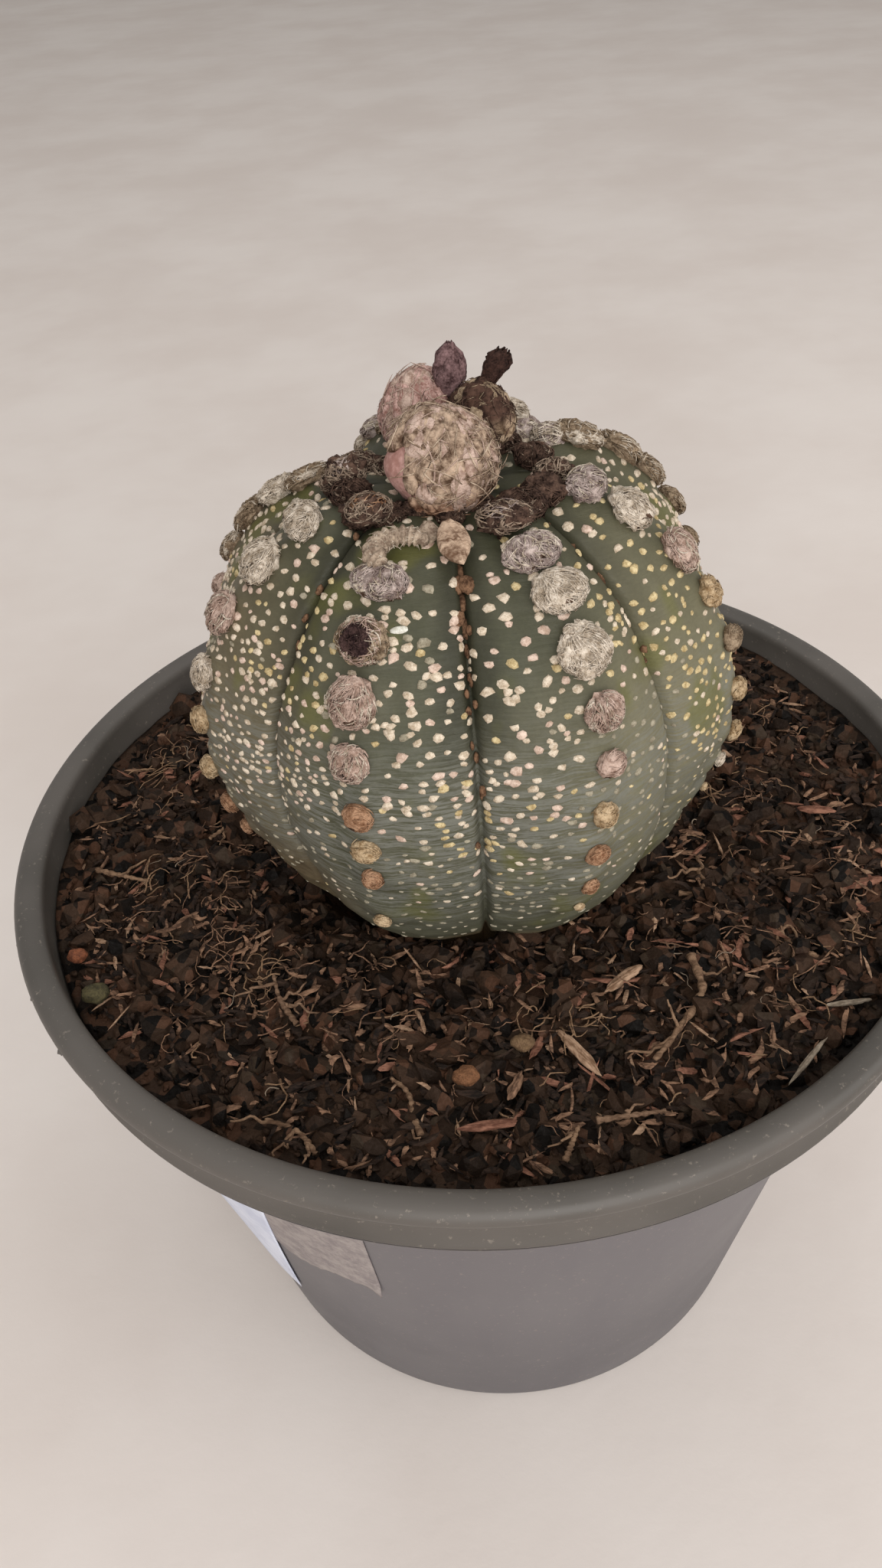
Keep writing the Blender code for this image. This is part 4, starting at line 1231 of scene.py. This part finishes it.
def build_splinters(mats):
    """Bark splinters and shreds that lie at all angles on the soil."""
    rings = ((-1.0, 0.12), (-0.7, 0.75), (-0.2, 1.0), (0.35, 0.9), (0.75, 0.6), (1.0, 0.08))
    sides = 5
    template = np.array([(x, r * math.cos(math.tau * i / sides), r * math.sin(math.tau * i / sides))
                         for x, r in rings for i in range(sides)])
    faces = grid_faces(len(rings), sides)
    faces += [tuple(range(sides)), tuple(len(template) - 1 - i for i in range(sides))]
    for name, count, mat, long, wide in (
            ("shreds_dark", 1900, "chip_dark", 1.8, 0.45), ("shreds_brown", 950, "chip_brown", 1.7, 0.38),
            ("splinters_red", 220, "chip", 2.6, 0.48), ("splinters_tan", 200, "chip_tan", 2.2, 0.32)):
        count = thinned(count)
        spot = soil_places(count, 3.2 * MM, 1.0 * MM)
        half = np.column_stack([rng.uniform(0.35, 1.15, count) * long, rng.uniform(0.5, 1.4, count) * wide,
                                rng.uniform(0.35, 0.8, count) * wide]) * MM
        yaw = rng.uniform(0.0, math.tau, count)
        pitch = rng.normal(scale=0.26, size=count)
        along = np.column_stack([np.cos(yaw) * np.cos(pitch), np.sin(yaw) * np.cos(pitch), np.sin(pitch)])
        tilt = rng.normal(scale=0.45, size=(count, 3)) + [0.0, 0.0, 1.0]
        side = unit(np.cross(tilt, along))
        frames = np.stack([along, side, np.cross(along, side)], 2) * half[:, None, :]
        shape = template * rng.uniform(0.7, 1.3, (count, len(template), 1))
        shape[:, :, 1] += 0.5 * rng.normal(size=(count, 1)) * (shape[:, :, 0] ** 2 - 0.3)
        verts, all_faces = copies(shape, faces, frames, on_soil(spot, rng.uniform(0.2, 1.3, count) * MM))
        new_piece(name, verts, all_faces, mats[mat], "chip", smooth=False)


def build_fibres(mats):
    """Fine curling root fibres, some in small mats."""
    knots = 9
    for name, count, mat, low, high, radius, clumps in (
            ("fibres_tan", 230, "fibre", 3.0, 9.0, 0.12, 14),
            ("fibres_dark", 420, "chip_brown", 2.5, 8.0, 0.11, 30),
            ("fibres_pale", 26, "fibre_pale", 2.0, 6.0, 0.09, 5)):
        count = thinned(count)
        spot = soil_places(count, 7.0 * MM, 5.0 * MM)
        heart = soil_places(clumps, 10.0 * MM, 6.0 * MM)[rng.integers(0, clumps, count)]
        gathered = rng.uniform(size=count) < 0.55
        spot[gathered] = heart[gathered] + rng.normal(scale=2.2 * MM, size=(int(gathered.sum()), 2))
        yaw = rng.uniform(0.0, math.tau, count)
        bend = rng.normal(scale=0.16, size=count)
        wiggle = rng.normal(scale=0.42, size=(count, knots))
        step = rng.uniform(low, high, count) * MM / knots
        here = spot.copy()
        points = []
        lift = rng.uniform(0.6, 1.5, count) * MM
        arch = rng.uniform(-0.3, 0.9, count) * MM
        for knot in range(knots):
            points.append(on_soil(here, lift + arch * math.sin(math.pi * knot / (knots - 1))))
            yaw = yaw + bend + wiggle[:, knot]
            here = here + np.column_stack([np.cos(yaw), np.sin(yaw)]) * step[:, None]
        radii = radius * MM * rng.uniform(0.7, 1.4, (count, 1)) * np.linspace(1.15, 0.5, knots)
        verts, faces = tubes(np.stack(points, 1), radii, 4)
        new_piece(name, verts, faces, mats[mat], "twig")


def smooth_path(points, count):
    """Catmull-Rom curve through points."""
    points = [np.asarray(p, float) for p in points]
    padded = [2 * points[0] - points[1]] + points + [2 * points[-1] - points[-2]]
    spans = len(points) - 1
    out = []
    for share in np.linspace(0, spans - 1e-6, count):
        i = int(share)
        t = share - i
        a, b, c, d = padded[i:i + 4]
        square, cube = 2 * a - 5 * b + 4 * c - d, 3 * b - a - 3 * c + d
        out.append(0.5 * (2 * b + (c - a) * t + square * t * t + cube * t ** 3))
    return np.array(out)


def centre_line(name, count):
    """The path of a CAD twig, read from its mesh: the middles of slices along its length."""
    points = node_points(name)
    middle = points.mean(0)
    _, _, axes = np.linalg.svd(points - middle)
    along = (points - middle) @ axes[0]
    edges = np.linspace(along.min(), along.max(), count + 1)
    line = []
    for low, high in zip(edges, edges[1:]):
        inside = points[(along >= low - 1e-6) & (along <= high + 1e-6)]
        if len(inside) >= 3:
            line.append(inside.mean(0))
    return line


def build_twigs(mats):
    """The larger twigs and roots, knotty, with a few side roots."""
    for number, name in nodes_named("twig"):
        thick = 0.60 if name == "twig_root" else 0.42
        path = smooth_path(centre_line(name, 7), 42)
        path[:, 2] += 0.25 * MM
        local = np.random.default_rng(500 + number)
        knots = len(path)
        knotty = 1 + 0.22 * np.sin(np.arange(knots) * 1.1 + number) + local.normal(scale=0.08, size=knots)
        radii = thick * MM * np.linspace(1.05, 0.6, knots) * knotty
        groups = [tubes(path[None], radii[None], 9)]
        for _ in range(4 if name in ("twig_root", "twig_fork", "twig_curly", "twig_rootlet") else 1):
            start = path[local.integers(5, knots - 5)]
            heading = unit(np.append(local.normal(size=2), local.uniform(-0.1, 0.25)))
            length = local.uniform(3.0, 6.5) * MM
            side = np.array([start + heading * length * t + local.normal(scale=0.25 * MM, size=3) * (t > 0)
                             for t in np.linspace(0, 1, 7)])
            groups.append(tubes(smooth_path(side, 16)[None], np.linspace(0.3, 0.12, 16)[None] * MM, 6))
        mat = mats["twig_pale"] if name in ("twig_pale", "twig_rootlet") else mats["twig"]
        new_piece(name + "_bark", *merged(groups), mat, "twig", [name])


def build_chips(mats):
    """The larger bark chips and pale slivers: split wood with grain along it."""
    base, faces = ball(26, 20)
    for number, name in nodes_named("chip", "sliver"):
        points = node_points(name)
        middle = points.mean(0)
        _, _, axes = np.linalg.svd((points - middle) * [1.0, 1.0, 0.2])
        along = unit(axes[0] * [1.0, 1.0, 0.0])
        side = np.array([-along[1], along[0], 0.0])
        reach = np.abs((points - middle) @ along).max()
        width = np.abs((points - middle) @ side).max()
        verts = []
        for x, y, z in base[:, [2, 0, 1]]:
            rough = noise.noise(Vector((x * 2.5, y * 3.0, number * 3.7)))
            taper = 0.50 + 0.50 * (1.0 - abs(x) ** 5) + 0.30 * rough
            ridge = 1.0 + 0.22 * math.sin(y * 11.0 + x * 1.5 + number) * (z > 0)
            bow = 0.12 * math.sin(x * 2.6 + number)
            verts.append((x * (1.0 + 0.12 * rough) + 0.16 * y, y * taper + bow, z * ridge))
        sliver = name.startswith("sliver")
        verts = np.array(verts) * [reach, width * (0.5 if sliver else 0.85), 0.45 * MM]
        mat = mats["sliver"] if sliver else mats[("chip", "chip_tan", "chip_brown")[number % 3]]
        obj = new_piece(name + "_wood", verts, faces, mat, "sliver" if sliver else "chip")
        turn = np.column_stack([along, side, [0.0, 0.0, 1.0]])
        obj.parent = None
        obj.matrix_world = Matrix.Translation(middle + [0.0, 0.0, 0.2 * MM]) @ Matrix(turn.tolist()).to_4x4()
        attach(obj, "root")
        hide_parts(name)


def build_pebbles(mats):
    for number, name in nodes_named("pebble"):
        centre, half = node_frame(name)
        base, faces = ball(24, 16)
        verts = lumpy(base, 0.7, 0.22, 60 + number) * half * 1.05 + centre + [0.0, 0.0, 0.3 * MM]
        new_piece(name + "_stone", verts, faces, mats[name], "pebble", [name])


# ---- labels

def build_label(name, node, mat, left, right, low, high, peel):
    """A thin sheet on the tapered wall. left, right, low and high are functions of a share along it."""
    rows, columns = 40, 34
    verts = []
    for row in range(rows):
        v = row / (rows - 1)
        for column in range(columns):
            u = column / (columns - 1)
            azimuth = left(v) + (right(v) - left(v)) * u
            z = (low(u) + (high(u) - low(u)) * v) * MM
            radius = wall_radius(z) + 0.12 * MM + peel(u, v) * MM
            turn = math.radians(azimuth)
            verts.append((math.sin(turn) * radius, -math.cos(turn) * radius, z))
    thicken(new_piece(name, verts, grid_faces(rows, columns, False), mat, node, [node]), 0.14 * MM)


def build_labels(mats):
    torn = (52.0, 49.6, 49.0, 49.8, 51.3, 51.8, 51.3, 50.6)

    def torn_edge(u):
        edge = float(np.interp(u, np.linspace(0, 1, len(torn)), torn))
        return edge + 0.25 * math.sin(u * 61) + 0.2 * math.sin(u * 23)

    build_label("sticker_grey", "label_grey", mats["label_grey"],
                lambda v: -41.0 + 0.4 * math.sin(v * 9),
                lambda v: -19.6 + 0.7 * v - 1.6 * max(0.0, v - 0.93) / 0.07,
                torn_edge, lambda u: 79.0 - 4.0 * max(0.0, u - 0.8),
                lambda u, v: 0.9 * max(0.0, u - 0.9) * max(0.0, 0.14 - v) * 60.0)
    build_label("sticker_white", "label_white", mats["label_white"],
                lambda v: -57.5 - 4.0 * v, lambda v: -43.5 + 8.5 * v ** 1.1,
                lambda u: 27.0 - 3.0 * u, lambda u: 76.0,
                lambda u, v: (1.0 - u) ** 1.3 * (0.5 + 2.4 * v) + 0.18)


# ---- stage

def build_stage():
    reach = 3.0
    floor = bpy.data.meshes.new("floor")
    corners = [(-reach, -reach, 0.0), (reach, -reach, 0.0), (reach, reach, 0.0), (-reach, reach, 0.0)]
    floor.from_pydata(corners, [], [(0, 1, 2, 3)])
    floor.materials.append(floor_material())
    linked("floor", floor)

    world = bpy.data.worlds.new("studio")
    world.use_nodes = True
    sky = world.node_tree.nodes["Background"].inputs
    sky["Color"].default_value = (1.0, 0.975, 0.95, 1.0)
    sky["Strength"].default_value = 0.43
    bpy.context.scene.world = world

    aim = Vector((0.0, 0.0, POT_HEIGHT))
    for name, place, size, power in (("window", (0.20, -1.30, 0.80), 1.3, 18.5),
                                     ("ceiling", (0.0, 0.20, 1.30), 1.3, 3.4),
                                     ("side", (1.10, -0.30, 0.55), 0.9, 3.6)):
        light = bpy.data.lights.new(name, "AREA")
        light.energy = power
        light.size = size
        light.color = (1.0, 0.975, 0.955)
        lamp = linked(name, light)
        lamp.location = place
        lamp.rotation_euler = (aim - Vector(place)).to_track_quat("-Z", "Y").to_euler()


# The camera's angles in radians, and its place in rim radii.
CAMERA_PITCH, CAMERA_ROLL, CAMERA_PAN = 0.6976, -0.0868, -0.0386
CAMERA_PLACE = Vector((0.0, -2.0235, 3.1341))
CAMERA_LENS = 28.125


def build_camera():
    """A phone held close above the front of the pot, tilted well down and a little rolled."""
    level = math.cos(CAMERA_PITCH)
    ahead = Vector((math.sin(CAMERA_PAN) * level, math.cos(CAMERA_PAN) * level, -math.sin(CAMERA_PITCH)))
    side = Vector((math.cos(CAMERA_PAN), -math.sin(CAMERA_PAN), 0.0))
    up = side.cross(ahead)
    right = side * math.cos(CAMERA_ROLL) + up * math.sin(CAMERA_ROLL)
    above = up * math.cos(CAMERA_ROLL) - side * math.sin(CAMERA_ROLL)
    data = bpy.data.cameras.new("camera")
    data.lens = CAMERA_LENS
    data.sensor_width = 36.0
    data.clip_start = 0.01
    camera = linked("camera", data)
    turn = Matrix((right, above, -ahead)).transposed().to_4x4()
    camera.matrix_world = Matrix.Translation(CAMERA_PLACE * RIM_RADIUS) @ turn
    bpy.context.scene.camera = camera


# Dark and light tone of each natural material, and of wool_dark, the painted shade under the woolly areole
# pads.
WOOL_TONES = {
    "wool_mauve": ((122, 104, 98), (200, 184, 176)), "wool_cream": ((160, 144, 124), (230, 218, 202)),
    "wool_pink": ((144, 118, 104), (206, 182, 168)), "wool_brown": ((102, 84, 66), (172, 152, 128)),
    "wool_tan": ((134, 108, 76), (210, 186, 152)), "wool_orange": ((118, 82, 58), (190, 152, 122)),
    "wool_dark": ((54, 40, 32), (98, 76, 62)), "bud": ((44, 32, 28), (104, 82, 70)),
    "bud_hair": ((104, 86, 74), (184, 164, 144)), "stub": ((38, 26, 27), (86, 66, 62)),
    "cork": ((66, 46, 34), (136, 104, 80)), "curl": ((116, 98, 84), (190, 172, 152)),
}
WOOD_TONES = {
    "bract": ((106, 80, 62), (204, 178, 154)), "chip": ((88, 55, 42), (152, 108, 88)),
    "chip_tan": ((116, 88, 66), (184, 152, 126)), "chip_brown": ((72, 52, 40), (152, 118, 94)),
    "chip_dark": ((18, 13, 10), (60, 45, 36)), "sliver": ((108, 96, 82), (168, 154, 136)),
    "twig": ((84, 62, 46), (142, 114, 90)), "twig_pale": ((88, 66, 50), (142, 114, 92)),
    "fibre": ((96, 72, 53), (156, 126, 98)), "fibre_pale": ((112, 98, 84), (160, 144, 126)),
}
STONE_TONES = {
    "pebble_orange": ((88, 50, 34), (140, 84, 56)), "pebble_green": ((56, 52, 34), (90, 82, 54)),
    "pebble_tan": ((88, 66, 46), (128, 102, 74)), "pebble_brown": ((92, 60, 38), (136, 94, 64)),
}
FLECK_TONES = {
    "fleck_cream": ((172, 154, 130), (230, 216, 196)), "fleck_pink": ((176, 150, 132), (230, 208, 192)),
    "fleck_yellow": ((160, 138, 96), (222, 204, 160)), "fleck_dull": ((128, 120, 102), (176, 168, 148)),
    "husk": ((196, 194, 180), (244, 244, 236)),
}


def mottled_set(tones, *looks):
    return {name: mottled(name, *pair, *looks) for name, pair in tones.items()}


def make_materials():
    mats = mottled_set(WOOL_TONES, 1.3 * MM, 0.95, 0.18 * MM, 0.1)
    mats.update(mottled_set(WOOD_TONES, 1.9 * MM, 0.85, 0.15 * MM, 0.2, (0.5, 1.5, 1.0)))
    mats.update(mottled_set(STONE_TONES, 1.1 * MM, 0.8, 0.2 * MM, 0.3))
    for name, dark, light, *looks in (
            ("label_grey", (126, 117, 117), (156, 147, 143), 3.0 * MM, 0.55, 0.1 * MM),
            ("label_white", (198, 204, 224), (222, 227, 242), 9.0 * MM, 0.45, 0.05 * MM)):
        mats[name] = mottled(name, dark, light, *looks, 0.4)
    return mats


def build_fruits(mats):
    pink = mottled("fruit_pink", (160, 118, 108), (214, 172, 164), 3.5 * MM, 0.8, 0.15 * MM, 0.2)
    wool = mats["wool_pink"]
    beige = lobe_material("lobe_beige", ((112, 72, 54), (190, 142, 112)), ((88, 68, 54), (190, 166, 144)),
                          159, 165)
    strand = lobe_material("strand_beige", ((140, 100, 78), (198, 158, 130)),
                           ((128, 106, 88), (204, 184, 162)), 159, 165)
    build_fruit("fruit_front", "fruit_skin", [pink, beige, strand, wool],
                4, 330, 560, np.array([-0.95, -0.15, -0.27]), 1.45, 0.11)
    rosy = mottled("lobe_pink", (142, 104, 94), (214, 180, 170), 1.4 * MM, 0.95, 0.3 * MM, 0.1)
    build_fruit("fruit_left", "fruit_wool_pink", [pink, rosy, wool, wool],
                5, 190, 380, np.array([0.0, 0.3, -0.95]), 1.35, 0.10)
    dark = lobe_material("lobe_dark", ((112, 90, 70), (192, 168, 142)), ((38, 26, 22), (86, 64, 54)),
                         166.0, 168.6)
    build_fruit("fruit_right", "fruit_wool_dark", [mats["bud"], dark, mats["bud"], mats["wool_brown"]],
                6, 150, 420, np.array([0.0, 0.0, -1.0]), 1.2, 0.10)


def build_flower_stubs():
    low, high = box("flower_remnant_left")
    x, y, _ = (low + high) / 2
    petal_bundle("stub_mauve", "flower_remnant_left", (x - 0.3 * MM, y, low[2] - 1.0 * MM),
                 (x + 0.2 * MM, y, high[2]), (0.9, 1.5, 1.9, 1.9, 1.5, 0.5), 8,
                 mottled("petal_mauve", (64, 44, 44), (140, 112, 112), 1.6 * MM, 0.9, 0.2 * MM, 0.15),
                 "remnant_mauve", 0.05, 41)
    low, high = box("flower_remnant_right")
    y = ((low + high) / 2)[1]
    petal_bundle("stub_dark", "flower_remnant_right", (low[0] + 0.5 * MM, y, low[2] - 1.0 * MM),
                 (high[0] - 0.2 * MM, y, high[2] + 0.4 * MM), (0.8, 0.9, 1.1, 1.35, 1.5, 0.9), 9,
                 mottled("petal_dark", (34, 22, 19), (76, 54, 47), 1.2 * MM, 0.9, 0.2 * MM, 0.15),
                 "remnant_dark", 0.12, 42)


def main():
    mats = make_materials()
    flecks = list(mottled_set(FLECK_TONES, 0.9 * MM, 0.95, 0.12 * MM, 0.1).values())
    build_camera()
    build_stage()
    build_pot(pot_material())
    soil = soil_material()
    build_soil_bed(soil)
    build_crumbs(soil)
    build_splinters(mats)
    build_fibres(mats)
    build_skin()
    build_flecks(flecks)
    build_areoles(mats)
    build_groove_cork(mats)
    build_fruits(mats)
    build_flower_stubs()
    build_bract(mats)
    build_curl(mats)
    build_bud("dried_bud_left", mats, 20, "wool_orange")
    build_bud("dried_bud_right", mats, 24, "wool_mauve")
    build_bud("dried_bud_back_left", mats, 28, "wool_mauve")
    build_crown_wool(mats)
    build_twigs(mats)
    build_chips(mats)
    build_pebbles(mats)
    build_labels(mats)
    bpy.context.scene.view_settings.view_transform = "Standard"
    bpy.context.view_layer.update()


main()
